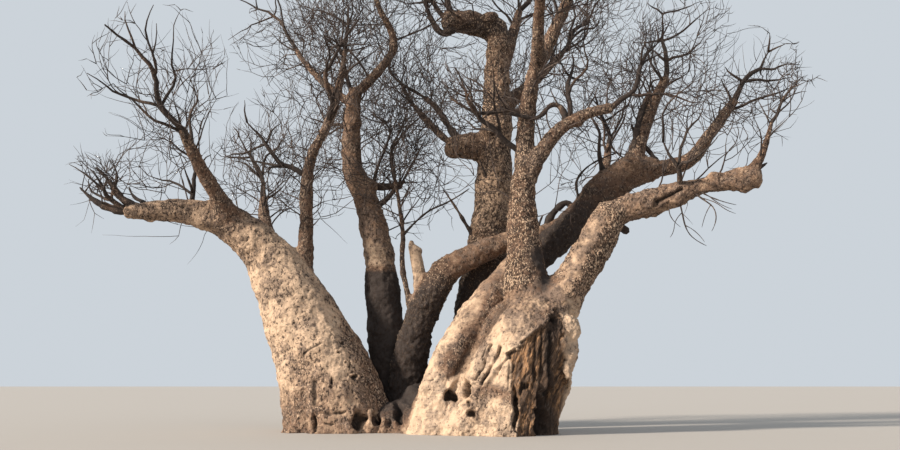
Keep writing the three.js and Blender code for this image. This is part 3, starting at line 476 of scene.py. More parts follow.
# How dark the bark of a limb is, at some heights above the ground: 0 cream, 1 brown, 2 near black. The
# near-black lower parts of the arched stem, back left stem and back trunk are partly dark bark, partly
# painted shade.
TONES = {
    "left_trunk": [(0.0, 0.85), (1.2, 0.55), (2.2, 0.15), (7.0, 0.4)],
    "right_trunk": [(0.0, 0.0), (2.5, 0.05), (4.0, 0.45), (5.5, 1.0)],
    "leaning_stem": [(0.0, -0.15), (2.0, -0.1), (4.0, 0.2), (6.0, 0.7), (7.5, 1.1)],
    "trunk_foot": [(0.0, 0.7), (0.5, 1.3), (1.2, 2.0)],
    # painted shade, over dark grey-brown bark, on the lower arched stem
    "arched_stem": [(0.0, 2.0), (4.8, 1.8), (5.9, 1.2)],
    "arched_bough": [(5.0, 1.2), (6.0, 1.0), (8.5, 0.8)],
    "broken_stub": [(4.0, 0.3), (7.5, 0.4)],
    # painted shade, over dark grey-brown bark, on the back left stem, up to a painted shadow's edge at 5.75
    # to 6 m
    "back_left_stem": [(0.0, 2.1), (5.75, 2.0), (6.0, 0.45), (6.9, 0.5), (7.5, 0.9), (12.0, 0.95)],
    "back_left_fork": [(11.0, 0.9), (16.0, 1.1)],
    # painted shade, over dark grey-brown bark, on the lower back trunk
    "back_trunk": [(0.0, 2.2), (6.0, 1.7), (8.0, 0.55), (14.0, 0.9)],
    "back_stub": [(9.0, 0.9), (13.0, 0.9)],
    "top_left_bough": [(15.6, 1.6), (16.6, 1.0)],
    "left_bough": [(5.0, 0.4), (9.0, 0.7)],
    "arched_side_bough": [(3.0, 1.5), (10.0, 1.7)],
    "middle_stem": [(4.0, 0.9), (5.0, 1.2), (9.0, 1.15)],
    "right_stem": [(4.0, 0.65), (8.0, 0.9)],
    "right_bough": [(7.0, 0.8), (9.0, 0.85)],
    "leaning_bough": [(7.0, 1.7), (8.3, 1.4), (9.6, 0.9)],
}
USUAL_TONE = [(0.0, 1.15), (20.0, 1.25)]
# The painted shade of the inner stems is kept to their front, as tones above this fade on surfaces that
# face away.
TONE_AT_BACK = 0.9  # the darkest tone on the back of the tree
# Darker and more speckled bark along these lines, some of them painted shade down sides turned from the key
# light and where stems meet: the line, its half width and how strongly.
DARK_AND_SHADED_STREAKS = [
    # painted shade down the leaning stem's right side, over its own dark-speckled bark
    ([(2.7, -1.0, 5.1), (2.1, -1.3, 4.0), (1.55, -1.6, 3.1), (1.05, -1.75, 2.2)], 0.4, 1.2),
    # painted shade down the left trunk's right side
    ([(-3.1, -0.3, 6.0), (-2.2, -0.4, 3.5), (-1.45, -0.5, 1.3)], 0.5, 0.8),
    ([(2.4, -2.7, 4.4), (3.7, -2.95, 4.0)], 0.4, 0.3),
    # painted shade at the foot of the middle stem, where it meets the trunk
    ([(3.1, -2.1, 5.4), (2.8, -1.9, 4.6)], 0.3, 0.7),
    # painted shade in the crotch between the middle and right stems
    ([(4.3, -1.8, 5.4), (4.2, -2.0, 7.0)], 0.25, 0.8),
    ([(6.6, -2.0, 7.0), (5.5, -2.2, 4.8)], 0.3, 0.5),
    ([(-4.6, -0.9, 0.3), (-4.2, -1.0, 1.3), (-4.0, -1.0, 2.0)], 0.5, 0.4),
    # painted shade down the hollowed right part of the bare wood
    ([(4.35, -2.9, 3.9), (4.25, -2.8, 2.0), (4.1, -2.6, 0.2)], 0.42, 1.1),
    ([(-4.3, -0.9, 2.6), (-3.2, -1.2, 2.4), (-3.4, -1.2, 1.0)], 0.6, 0.25),
    ([(2.0, -2.7, 1.35), (2.45, -2.85, 1.4), (2.95, -2.95, 1.25)], 0.3, 0.9),
    ([(1.2, -2.0, 1.15), (1.75, -2.6, 0.8)], 0.25, 0.5),
]
DARK_STREAK_TONE = 1.25
STREAK_SPECKLE = 0.6  # further speckles along the dark streaks
# Smooth bark along these lines, and painted shade in one crotch: the line, its half width and its tone.
SMOOTH_AND_SHADED_STREAKS = [
    # painted shade in the crotch between the middle and right stems, near black and unspeckled
    ([(3.95, -1.7, 6.1), (4.25, -1.9, 5.3), (4.1, -2.2, 4.75)], 0.24, 1.9),
    ([(6.0, -2.3, 7.2), (5.7, -2.3, 6.6), (5.2, -2.3, 5.7), (4.5, -2.5, 4.8), (4.0, -2.8, 4.3)],
     0.26, 0.45),
    ([(1.6, -1.6, 4.0), (2.6, -1.6, 5.4)], 0.3, 0.4),
    ([(-3.5, -0.9, 4.4), (-3.1, -1.1, 3.2), (-2.85, -1.2, 2.1)], 0.32, 0.1),
    ([(5.1, -2.5, 3.9), (5.0, -2.6, 3.3), (4.95, -2.6, 2.7), (4.85, -2.5, 2.0), (4.8, -2.4, 1.2)],
     0.36, -0.1),
]
# How thickly the bark of a limb is speckled, from 0 to 1.
SPECKLE = {
    "middle_stem": 1.0, "middle_bough": 0.8, "right_stem": 0.9, "right_bough": 0.55, "back_trunk": 0.9,
    "leaning_bough": 0.5, "left_trunk": 0.55, "leaning_stem": 0.1, "right_trunk": 0.2, "arched_stem": 0.9,
    "back_stub": 0.8, "top_left_bough": 0.8, "arched_bough": 0.5, "broken_stub": 0.3, "back_left_stem": 0.5,
    "trunk_foot": 0.4,
}
USUAL_SPECKLE = 0.7
BRANCH_TONE = 1.75
BRANCH_MOTTLE = (0.5, 1.2, 95)  # how much the branches' tone varies, the size of its patches and a seed
BRANCH_SPECKLE = 0.5
# How knobbly and cracked the bark of a limb is.
ROUGHNESS = {
    "left_trunk": 0.5, "leaning_stem": 0.5, "trunk_foot": 0.6, "right_trunk": 0.75, "middle_stem": 1.0,
    "right_stem": 1.0, "back_trunk": 0.9, "right_bough": 1.2, "leaning_bough": 1.1, "arched_stem": 1.3,
}
USUAL_ROUGHNESS = 0.9

# The relief of the living bark. A layer has a height, the size of its lumps, a seed and its number of
# octaves, each finer and fainter than the last.
LUMPS = [(0.055, 1.2, 1, 2), (0.035, 0.42, 5, 3)]
FOLDS = [(0.06, 0.55, 41, 1), (0.03, 0.25, 43, 2)]
FOLD_FADE = (0.3, 3.0)  # heights above the ground between which the folds fade
KNOB_HEIGHT = 0.03
KNOB_LUMPS = (0.17, 31, 2)
CRACK_DEPTH = 0.024
CREASE_WIDTH = 0.17  # height of the noise, to each side of zero, that counts as a crease
PIT_DEPTH = 0.04
PIT_WIDTH = (0.07, 0.2)  # where a pit is full and where it ends, as shares of the pits' spacing
PIT_SPACING = 0.3
PIT_SHARE = 0.45  # share of the places for pits that have one
FULL_RELIEF = 0.5  # radius of a limb from which its bark has the full relief
LEAST_RELIEF = 0.35  # share of it that the thinnest limbs have
# The grain of the bare wood: height, how the noise is squeezed in each direction, size and seed.
WOOD_GRAIN = [(0.035, (1, 1, 0.16), 0.13, 51), (0.03, (2.4, 2.4, 0.5), 0.16, 53),
              (0.05, (1, 1, 0.2), 0.36, 55)]
WOOD_DEPTH = 0.09  # how far the bare wood lies below the bark
WOOD_FRONT = (-1.6, -2.0)  # how far in front of the origin the bare wood begins
# Swells of the lip and dips of the groove: height or depth, and half width.
LIP_SWELLS = [(0.06, 0.08), (0.03, 0.3)]
GROOVE_DIPS = [(0.14, 0.11), (0.08, 0.3)]
GROOVE_FRONT = (-1.2, -1.5)  # how far in front of the origin the groove begins
# How lines and edges are made ragged: amount, size and seed of each shift.
RAGGED_STREAKS = (0.25, 0.6, 81)
RAGGED_WOOD = [(0.1, 0.35, 83), (0.06, 0.12, 87)]
RAGGED_LIP = (0.07, 0.4, 85)
RAGGED_HOLLOWS = [(0.1, 0.4, 71), (0.05, 0.15, 75)]
RAGGED_CRACKS = (0.045, 0.35, 71)
RAGGED_PITS = (0.03, 0.1, 13)
RAGGED_GRAIN = (0.06, 0.2, 57)
HOLLOW_SLACK = 0.55  # how far before or behind the skin a hollow's centre may lie
MARK_MARGIN = 0.6  # distance beyond which a crack has no effect
DEPTH_WEIGHT = 0.4  # how much depth counts in the distance from a line

FOOT_LOBES = [(5, 1.0, 0.6), (3, 0.7, 2.1)]  # number, size and turn of the lobes round a foot
DOME = 0.5  # how far a domed top closes in, as a share of its radius
COLLAR = 0.22  # swelling of a bough where it leaves its limb, as a share of its radius
FLARE_HEIGHT = 0.5  # length over which a flared foot narrows
TIP_SHARE = 0.95  # a limb that starts beyond this share of its bearer's length carries it on
BURIED = 0.6  # how far a stem is drawn below the ground before it is cut off level
LINE_STEPS = 24  # points along each arc of a limb's line
LOFT_STEP = 0.12  # spacing of the rings of points along a limb
LOFT_SIDES = 40  # points in a ring
END_ROUNDING = 0.55  # length of a limb's rounded end as a share of its radius
END_SLOPES = [25, 50, 72]  # angles at which the rings of the rounded end lie
COVERED_THINNING = 0.1  # how much thinner a stem's end is under the skin of its boughs
COVERED_SINKING = 0.06  # how deep the boughs' skin starts in the stem's
PLACE_STEP = 0.1  # spacing of the places along a limb that points are measured from
CHUNK = 16384  # points that are placed at once
FAR = 9.0  # stands for any distance that is too great to matter
# Smoothing of the skin: weight and rounds for all of it, and weight where limbs meet.
SKIN_SMOOTHING = (0.5, 3)
WEB_WEIGHT = 0.75
WEB_REACH = 0.35  # how far the skin is webbed where limbs meet, as a share of the limb's radius
WEB_RADIUS = 0.8  # greatest radius that counts for this
WEB_GAP = (0.35, 1.1)  # distances from the groove between which the webbing sets in
TONE_SMOOTHING = (0.6, 30)  # weight and rounds of the smoothing of the tones

# Whole-numbered hashing, for noise that is the same in every run.
HASH_FACTORS = np.array([374761393, 668265263, 3266489917], np.uint32)
HASH_SEED_FACTOR = 974711
HASH_STEPS = [(13, 1274126177), (15, 2246822519)]
HASH_LAST_SHIFT = 16
WORD = 2 ** 32
NOISE_SHIFT = 0.37  # how far each seed's noise is moved
NOISE_GAIN = 1.4  # brings the noise up to about -1 to 1
FINER = 2.1  # how much finer each further layer of rough noise is

BARK_SHEEN = 0.25  # half the usual shine
FLOOR_HALF = 900.0  # half the width of the floor
FLOOR_PATCHES = (0.34, 0.31, 0.28, 1.0)  # colour of the floor's faint patches
FLOOR_ROUGHNESS = 0.95
SURROUNDINGS_STRENGTH = 0.7
KEY_DIRECTION = (-0.80, -0.42, 0.42)  # from the tree to the key light
KEY_COLOUR = (1.0, 0.9, 0.77)
KEY_SOFTNESS = 6  # angle that the key light's disc spans
CAMERA_SIDE = 1.0  # how far the camera stands to the right of the origin
LENS = 35
SENSOR = 36
VIEW_LIMIT = 3000  # how far the camera sees


def heading(bearing, rise):
    b, r = math.radians(bearing), math.radians(rise)
    return np.array([math.cos(r) * math.cos(b), math.cos(r) * math.sin(b), math.sin(r)])


def unit(v):
    return v / np.linalg.norm(v, axis=-1, keepdims=True)


def bell(distance, width, power=2):
    """1 at a line and falling off smoothly to its sides."""
    return np.exp(-(distance / width) ** power)


class Limb:
    """The line, length and radius of one limb, worked out as in the part's source."""

    def __init__(self, name, spec, bearers):
        self.name = name
        self.spec = spec
        bearer = bearers.get(spec.get("on"))
        start = bearer.point(spec["at"]) if bearer else np.array([*spec["ground"], 0.0])
        self.line = smooth_line(start, spec["runs"])
        steps = np.linalg.norm(np.diff(self.line, axis=0), axis=1)
        self.distance = np.concatenate([[0.0], np.cumsum(steps)])
        self.length = self.distance[-1]
        self.joined = bearer is not None and spec["at"] < TIP_SHARE
        self.hidden = bearer.radius(spec["at"] * bearer.length) if self.joined else 0.0

    def point(self, share):
        s = np.asarray(share) * self.length
        return np.stack([np.interp(s, self.distance, self.line[:, k]) for k in range(3)], axis=-1)

    def tangent(self, share):
        step = 0.01
        return unit(self.point(np.minimum(share + step, 1.0)) - self.point(np.maximum(share - step, 0.0)))

    def radius(self, s):
        spec = self.spec
        s = np.asarray(s, float)
        share = np.clip(s / self.length, 0, 1)
        r = spec["tip"] + (spec["foot"] - spec["tip"]) * (1 - share ** spec.get("fullness", 1))
        if "dome" in spec:
            r = r * (1 - DOME * np.maximum(1 - (self.length - s) / spec["dome"], 0) ** 2)
        if "flare" in spec:
            r = r + spec["flare"] * np.exp(-np.maximum(s, 0) / spec.get("flare_height", FLARE_HEIGHT))
        for at, growth, spread in spec.get("bulges", []):
            r = r * (1 + growth * bell(share - at, spread))
        if self.joined:
            r = r * (1 + COLLAR * np.exp(-np.maximum(s - self.hidden, 0) / spec["foot"]))
        return r

    def lobe(self, s, angle):
        """Uneven lobes round a foot, which fade with height."""
        if "lobes" not in self.spec:
            return np.ones_like(angle)
        fade = math.exp(-max(s, 0) / (2 * self.spec["foot"]))
        wave = sum(size * np.cos(count * angle + turn) for count, size, turn in FOOT_LOBES)
        return 1 + self.spec["lobes"] * fade * wave

    def stations(self, step, first=0.0):
        """Even steps along the limb: distance, point, heading, and two directions across it."""
        count = max(math.ceil((self.length - first) / step), 4) + 1
        s = np.linspace(first, self.length, count)
        share = np.clip(s / self.length, 0, 1)
        along = self.tangent(share)
        centre = self.point(share) + along * (s - share * self.length)[:, None]
        side = np.empty_like(centre)
        across = np.array([1.0, 0.0, 0.0])
        for i in range(count):
            across = unit(across - along[i] * (across @ along[i]))
            side[i] = across
        return s, centre, along, side, np.cross(along, side)


def smooth_line(start, runs):
    """Points along quadratic arcs that join the middles of neighbouring runs."""
    knees = [start]
    for length, bearing, rise in runs:
        knees.append(knees[-1] + length * heading(bearing, rise))
    if len(knees) == 2:
        return np.linspace(knees[0], knees[1], LINE_STEPS)
    ends = [knees[0]] + [(a + b) / 2 for a, b in zip(knees[1:-2], knees[2:-1])] + [knees[-1]]
    t = np.linspace(0, 1, LINE_STEPS)[:, None]
    arcs = [
        (1 - t) ** 2 * ends[i] + 2 * t * (1 - t) * knees[i + 1] + t * t * ends[i + 1]
        for i in range(len(ends) - 1)
    ]
    return np.concatenate([arcs[0]] + [arc[1:] for arc in arcs[1:]])


def all_limbs():
    """Every limb and branch, each after the one that bears it."""
    found = {}
    for name, spec in itertools.chain(LIMBS.items(), BRANCHES.items()):
        found[name] = Limb(name, spec, found)
    return found


limbs = all_limbs()
LEANINGS = np.array([v for v in itertools.product((-1, 0, 1), repeat=3) if sum(map(abs, v)) == 2])


def hashed(cells, seed):
    """Even numbers from 0 to 1, one for each whole-numbered cell."""
    n = cells.astype(np.int64).astype(np.uint32)
    h = sum(n[..., k] * HASH_FACTORS[k] for k in range(3))
    h = h + np.uint32(seed * HASH_SEED_FACTOR % WORD)
    for shift, factor in HASH_STEPS:
        h = (h ^ (h >> np.uint32(shift))) * np.uint32(factor)
    return (h ^ (h >> np.uint32(HASH_LAST_SHIFT))) / WORD


def noise(points, size, seed):
    """Smooth noise from about -1 to 1 with lumps of about this size."""
    p = points / size + NOISE_SHIFT * seed
    cell = np.floor(p)
    f = p - cell
    fade = f ** 3 * (f * (f * 6 - 15) + 10)
    total = np.zeros(len(p))
    for corner in itertools.product((0, 1), repeat=3):
        lean = LEANINGS[(hashed(cell + corner, seed) * len(LEANINGS)).astype(int)]
        weight = np.prod(np.where(corner, fade, 1 - fade), axis=-1)
        total += weight * (lean * (f - corner)).sum(axis=-1)
    return NOISE_GAIN * total


def rough_noise(points, size, seed, octaves):
    """Noise with ever finer and fainter lumps."""
    return sum(noise(points, size / FINER ** k, seed + k) / 2 ** k for k in range(octaves))


def layered(points, layers, share=1.0):
    """Layers of rough noise, each with a height, size, seed and number of octaves, times this share."""
    return sum(height * rough_noise(points, *lumps) * share for height, *lumps in layers)


def warped(points, *shifts):
    """Points that are shifted about, so that a shape measured from them becomes ragged."""
    for amount, size, seed in shifts:
        points = points + amount * np.stack([noise(points, size, seed + k) for k in range(3)], axis=-1)
    return points


def spots(points, size, seed, share):
    """Distance from the nearest of some scattered spots, as a share of their spacing."""
    p = points / size
    cell = np.floor(p)
    nearest = np.full(len(p), FAR)
    for step in itertools.product((-1, 0, 1), repeat=3):
        c = cell + step
        spot = c + np.stack([hashed(c, seed + k) for k in range(3)], axis=-1)
        distance = np.linalg.norm(p - spot, axis=-1)
        nearest = np.where(hashed(c, seed + 3) < share, np.minimum(nearest, distance), nearest)
    return nearest


def smooth(low, high, value):
    """0 below the low value and 1 above the high one, with a soft step between."""
    t = np.clip((value - low) / (high - low), 0, 1)
    return t * t * (3 - 2 * t)


def new_mesh(name, points, faces):
    """A mesh from arrays of points and of faces that all have the same number of corners."""
    mesh = bpy.data.meshes.new(name)
    mesh.vertices.add(len(points))
    mesh.vertices.foreach_set("co", points.astype(np.float32).ravel())
    mesh.loops.add(faces.size)
    mesh.loops.foreach_set("vertex_index", faces.astype(np.int32).ravel())
    mesh.polygons.add(len(faces))
    mesh.polygons.foreach_set("loop_start", np.arange(0, faces.size, faces.shape[1], dtype=np.int32))
    mesh.update(calc_edges=True)
    return mesh


def show(name, mesh):
    """Puts a mesh in the scene under this name."""
    made = bpy.data.objects.new(name, mesh)
    mesh.name = name
    bpy.context.scene.collection.objects.link(made)
    return made


def coordinates(mesh):
    points = np.empty(len(mesh.vertices) * 3, np.float32)
    mesh.vertices.foreach_get("co", points)
    return points.reshape(-1, 3).astype(float)


def edges_of(mesh):
    edges = np.empty(len(mesh.edges) * 2, np.int32)
    mesh.edges.foreach_get("vertices", edges)
    return edges.reshape(-1, 2)


def normals_of(mesh):
    normals = np.empty(len(mesh.vertices) * 3, np.float32)
    mesh.vertex_normals.foreach_get("vector", normals)
    return normals.reshape(-1, 3).astype(float)


def loft(limb, first=None, covered=False):
    """Points and faces of one limb as a closed tube with a rounded end. It may start part of the way along,
    and it thins at the end where another skin covers it."""
    if first is None:
        first = -BURIED if "ground" in limb.spec else 0.0
    s, centre, along, side, other = limb.stations(LOFT_STEP, first)
    r = limb.radius(s)
    if covered:
        r = r * (1 - COVERED_THINNING * smooth(limb.length - OVERLAP_FADE, limb.length, s))
    turns = np.linspace(0, 2 * math.pi, LOFT_SIDES, endpoint=False)
    rings = [
        centre[i] + (side[i] * np.cos(turns)[:, None] + other[i] * np.sin(turns)[:, None])
        * (r[i] * limb.lobe(s[i], turns))[:, None]
        for i in range(len(s))
    ]
    for slope in np.radians(END_SLOPES):
        rings.append(rings[len(s) - 1] * math.cos(slope) + centre[-1] * (1 - math.cos(slope))
                     + along[-1] * r[-1] * END_ROUNDING * math.sin(slope))
    points = np.concatenate(rings + [[centre[0], centre[-1] + along[-1] * r[-1] * END_ROUNDING]])
    foot, tip = len(points) - 2, len(points) - 1
    ring = np.arange(LOFT_SIDES)
    after = np.roll(ring, -1)
    faces = []
    for i in range(len(rings) - 1):
        a, b = i * LOFT_SIDES, (i + 1) * LOFT_SIDES
        faces.append(np.stack([a + ring, a + after, b + after], axis=-1))
        faces.append(np.stack([a + ring, b + after, b + ring], axis=-1))
    end = (len(rings) - 1) * LOFT_SIDES
    faces.append(np.stack([np.full(LOFT_SIDES, foot), after, ring], axis=-1))
    faces.append(np.stack([np.full(LOFT_SIDES, tip), end + ring, end + after], axis=-1))
    return points, np.concatenate(faces)


def joined(parts):
    """The points and faces of several parts in one pair of arrays."""
    starts = np.cumsum([0] + [len(points) for points, _ in parts[:-1]])
    faces = [faces + start for (_, faces), start in zip(parts, starts)]
    return np.concatenate([points for points, _ in parts]), np.concatenate(faces)


def remeshed(name, points, faces, voxel):
    """One skin round closed shapes that run into each other."""
    rough = show(name + "_rough", new_mesh(name + "_rough", points, faces))
    remesh = rough.modifiers.new("skin", "REMESH")
    remesh.mode = "VOXEL"
    remesh.voxel_size = voxel
    found = rough.evaluated_get(bpy.context.evaluated_depsgraph_get())
    mesh = bpy.data.meshes.new_from_object(found)
    bpy.data.objects.remove(rough)
    return mesh


def relax(points, edges, weight, steps):
    """Moves each point towards the middle of its neighbours, by its own weight, several times."""
    count = np.bincount(edges.ravel(), minlength=len(points))[:, None]
    a, b = edges.T
    for _ in range(steps):
        total = np.stack([
            np.bincount(a, points[b, k], len(points)) + np.bincount(b, points[a, k], len(points))
            for k in range(points.shape[1])
        ], axis=-1)
        points = points + weight * (total / count - points)
    return points


class Places:
    """Where each point lies on the nearest limb: distance along it, radius there, and the straightened
    position; and how far the point is from the skin of the next nearest limb."""

    def __init__(self, points, members):
        stations = [limbs[name].stations(PLACE_STEP) for name in members]
        s, centre, along, side, other = (np.concatenate(part) for part in zip(*stations))
        radius = np.concatenate([limbs[name].radius(st[0]) for name, st in zip(members, stations)])
        starts = np.cumsum([0] + [len(st[0]) for st in stations[:-1]])
        owner = np.repeat(np.arange(len(members)), [len(st[0]) for st in stations])
        nearest = np.empty(len(points), int)
        self.beside = np.full(len(points), FAR)
        for i in range(0, len(points), CHUNK):
            p = points[i:i + CHUNK]
            squares = (p ** 2).sum(1)[:, None] + (centre ** 2).sum(1) - 2 * p @ centre.T
            off = np.sqrt(np.maximum(squares, 0)) - radius
            nearest[i:i + CHUNK] = off.argmin(1)
            if len(members) > 1:
                by_limb = np.minimum.reduceat(off, starts, axis=1)
                by_limb.partition(1, axis=1)
                self.beside[i:i + CHUNK] = by_limb[:, 1]
        away = points - centre[nearest]
        self.s = s[nearest] + (away * along[nearest]).sum(1)
        self.radius = radius[nearest]
        self.limb = np.array(members)[owner[nearest]]
        across = (away * side[nearest]).sum(1)
        over = (away * other[nearest]).sum(1)
        self.straight = np.stack([across, over, self.s], axis=-1)


def limb_values(places, table, fallback):
    """The value that a table gives for each point's limb."""
    names, which = np.unique(places.limb, return_inverse=True)
    return np.array([table.get(name, fallback) for name in names])[which]


def bark_tone(points, normals, places):
    """How dark and how speckled the bark is, with painted shade on the front of the lower inner stems, in
    crotches and down the sides of stems turned from the key light.
    """
    tone = np.empty(len(points))
    for name in np.unique(places.limb):
        who = places.limb == name
        heights, tones = zip(*TONES.get(name, USUAL_TONE))
        tone[who] = np.interp(points[who, 2], heights, tones)
    # painted shade: tones above TONE_AT_BACK fade on surfaces that face away, so the inner stems' painted
    # shade stays on their front
    tone -= np.maximum(tone - TONE_AT_BACK, 0) * smooth(-0.3, 0.5, normals[:, 1])
    speckle = limb_values(places, SPECKLE, USUAL_SPECKLE)
    ragged = warped(points, RAGGED_STREAKS)
    for line, width, darker in DARK_AND_SHADED_STREAKS:
        streak = bell(line_distance(ragged, line), width)
        tone += np.maximum(DARK_STREAK_TONE - tone, 0) * np.minimum(darker * streak, 1)
        speckle += STREAK_SPECKLE * darker * streak
    for line, width, streak_tone in SMOOTH_AND_SHADED_STREAKS:
        streak = bell(line_distance(ragged, line), width, power=4)
        tone += (streak_tone - tone) * streak
        speckle *= 1 - streak
    return tone, speckle


def line_distance(points, line):
    """Distance from a line of short runs. Depth counts for less, as a line lies near the skin."""
    weights = np.array([1.0, DEPTH_WEIGHT, 1.0])
    p, line = points * weights, np.array(line) * weights
    nearest = np.full(len(points), FAR)
    for a, b in zip(line[:-1], line[1:]):
        run = b - a
        share = np.clip((p - a) @ run / (run @ run), 0, 1)
        nearest = np.minimum(nearest, np.linalg.norm(p - a - share[:, None] * run, axis=1))
    return nearest


def creases(points, size, seed):
    """Narrow winding creases: 1 along them and 0 elsewhere."""
    bent_points = warped(points, (0.35 * size, 0.6 * size, seed + 5))
    return 1 - smooth(0.0, CREASE_WIDTH, np.abs(noise(bent_points, size, seed)))


def bare_wood(points, normals):
    """Where the right trunk's wood is bare, from 0 to 1."""
    x, y, z = warped(points, *RAGGED_WOOD).T
    lip = np.array(LIP)[::-1]
    below = smooth(0.0, 0.07, np.interp(x, lip[:, 0], lip[:, 2]) - z)
    right = smooth(0.0, 0.12, x - np.interp(z, *zip(*WOOD_LEFT_EDGE)))
    left = smooth(0.0, 0.12, np.interp(z, *zip(*WOOD_RIGHT_EDGE)) - x)
    return below * right * left * smooth(*WOOD_FRONT, y) * smooth(0.0, 0.25, -normals[:, 1])


def dig_hollows(points, depth, inside):
    """Adds the hollows, each with a raised rim, to the depth and to how far each point lies inside one."""
    ragged = warped(points, *RAGGED_HOLLOWS)
    for centre, width, height, deep in HOLLOWS:
        reach = max(width, height) * 1.8 + 0.1
        near = np.flatnonzero((np.abs(points - centre) < [reach, reach + 0.5, reach]).all(1))
        away = np.linalg.norm((ragged[near] - centre) / [width, HOLLOW_SLACK + width, height], axis=1)
        share = 1 - smooth(0.5, 1.1, away)
        rim = 0.25 * min(width, 0.12) * bell(away - 1.3, 0.3)
        depth[near] = np.maximum(depth[near], deep * share) - rim * (1 - share)
        inside[near] = np.maximum(inside[near], smooth(0.25, 0.9, share))


def cut_cracks(points, depth, inside):
    """Adds the cracks and ridges in the same way."""
    ragged = warped(points, RAGGED_CRACKS)
    for line, width, deep in CRACKS:
        low, high = np.min(line, axis=0) - MARK_MARGIN, np.max(line, axis=0) + MARK_MARGIN
        near = np.flatnonzero(((points > low) & (points < high)).all(1))
        share = bell(line_distance(ragged[near], line), width)
        depth[near] += deep * share
        if deep > 0:
            inside[near] = np.maximum(inside[near], smooth(0.2, 0.8, share))


def living_relief(points, places):
    """Height of the living bark, and how far each point lies in a small crack or pit."""
    size = np.clip(places.radius / FULL_RELIEF, LEAST_RELIEF, 1)
    rough = limb_values(places, ROUGHNESS, USUAL_ROUGHNESS)
    speckle = limb_values(places, SPECKLE, USUAL_SPECKLE)
    folds = layered(places.straight * [1, 1, 0.3], FOLDS, 1 - smooth(*FOLD_FADE, points[:, 2]))
    lumps = layered(points, LUMPS)
    knobs = KNOB_HEIGHT * rough * rough_noise(points, *KNOB_LUMPS)
    zone = smooth(-0.1, 0.45, noise(points, 1.3, 45) + 0.7 * (rough - 0.55))
    broad_cracks = creases(points * [1, 1, 0.8], 0.26, 47)
    cracked = np.maximum(broad_cracks, 0.7 * creases(points, 0.13, 49)) * zone
    places_of_pits = warped(points, RAGGED_PITS) * [1, 1, 0.65]
    pits = 1 - smooth(*PIT_WIDTH, spots(places_of_pits, PIT_SPACING, 11, PIT_SHARE))
    pits *= smooth(0.1, 0.4, noise(points, 1.2, 15) + 0.6 * speckle - 0.3)
    return size * (lumps + knobs + folds - CRACK_DEPTH * cracked - PIT_DEPTH * pits), cracked, pits


def wood_relief(places):
    """Height of the bare wood's grain, which runs along the trunk."""
    ragged = warped(places.straight, RAGGED_GRAIN)
    return sum(height * noise(ragged * squeeze, size, seed) for height, squeeze, size, seed in WOOD_GRAIN)


def swelled(distance, swells):
    """The height of swells that run side by side along a line."""
    return sum(height * bell(distance, width) for height, width in swells)


def bark_relief(points, normals, places, strength):
    """How far the skin stands out, how much painted shade each point gets for lying in pits, cracks,
    hollows, the groove or the bare wood's furrows, and how bare its wood.
    """
    living, cracked, pits = living_relief(points, places)
    wood = bare_wood(points, normals)
    grain = wood_relief(places)
    lip = swelled(line_distance(warped(points, RAGGED_LIP), LIP), LIP_SWELLS) * (1 - wood)
    groove = swelled(line_distance(points, GROOVE), GROOVE_DIPS)
    groove *= smooth(*GROOVE_FRONT, points[:, 1])
    deep, inside = np.zeros(len(points)), np.zeros(len(points))
    dig_hollows(points, deep, inside)
    cut_cracks(points, deep, inside)
    height = living * (1 - wood) + wood * (grain - WOOD_DEPTH) + lip - groove - deep
    furrows = wood * smooth(0.02, -0.07, grain) * 0.75
    # painted shade in pits, cracks, hollows, the groove and the bare wood's furrows
    hollow = np.maximum.reduce([inside, 0.85 * pits, 0.55 * cracked, furrows, groove / 0.3])
    return strength * height, np.clip(hollow, 0, 1), wood


def write_value(mesh, name, values):
    mesh.attributes.new(name, "FLOAT", "POINT").data.foreach_set("value", values.astype(np.float32))


def write_vector(mesh, name, values):
    vectors = mesh.attributes.new(name, "FLOAT_VECTOR", "POINT").data
    vectors.foreach_set("vector", values.astype(np.float32).ravel())


def cut_at_ground(mesh):
    """Takes off what lies below the ground and closes the cut."""
    shape = bmesh.new()
    shape.from_mesh(mesh)
    everything = shape.verts[:] + shape.edges[:] + shape.faces[:]
    ground, up = (0, 0, 0), (0, 0, 1)
    bmesh.ops.bisect_plane(shape, geom=everything, plane_co=ground, plane_no=up, clear_inner=True)
    rim = [edge for edge in shape.edges if edge.is_boundary]
    if rim:
        bmesh.ops.holes_fill(shape, edges=rim, sides=0)
    shape.to_mesh(mesh)
    shape.free()


def refine(mesh):
    """Halves the spacing of the skin's points in the parts that need the finest relief."""
    shape = bmesh.new()
    shape.from_mesh(mesh)
    edges = set()
    for face in shape.faces:
        middle = face.calc_center_median()
        if any(all(a < m < b for a, m, b in zip(low, middle, high)) for low, high in FINE_PARTS):
            edges.update(face.edges)
    if edges:
        bmesh.ops.subdivide_edges(shape, edges=list(edges), cuts=1, use_grid_fill=True)
    shape.to_mesh(mesh)
    shape.free()


def swelling(centre, radii):
    """Points and faces of an ellipsoid."""
    shape = bmesh.new()
    bmesh.ops.create_icosphere(shape, subdivisions=3, radius=1)
    points = np.array([vertex.co for vertex in shape.verts]) * radii + centre
    faces = np.array([[vertex.index for vertex in face.verts] for face in shape.faces])
    shape.free()
    return points, faces


def place_points(mesh, points):
    mesh.vertices.foreach_set("co", points.astype(np.float32).ravel())
    mesh.update()


def bark_parts(name, spec):
    """Closed shapes of the limbs and swellings of one piece of bark."""
    covered = [other.get("borne_by") for other in BARK_PIECES.values()]
    parts = [loft(limbs[limb], covered=limb in covered) for limb in spec["limbs"]]
    if "borne_by" in spec:
        bearer = limbs[spec["borne_by"]]
        parts.append(loft(bearer, bearer.length - OVERLAP))
    return parts + [swelling(*swell) for swell in SWELLINGS.get(name, [])]


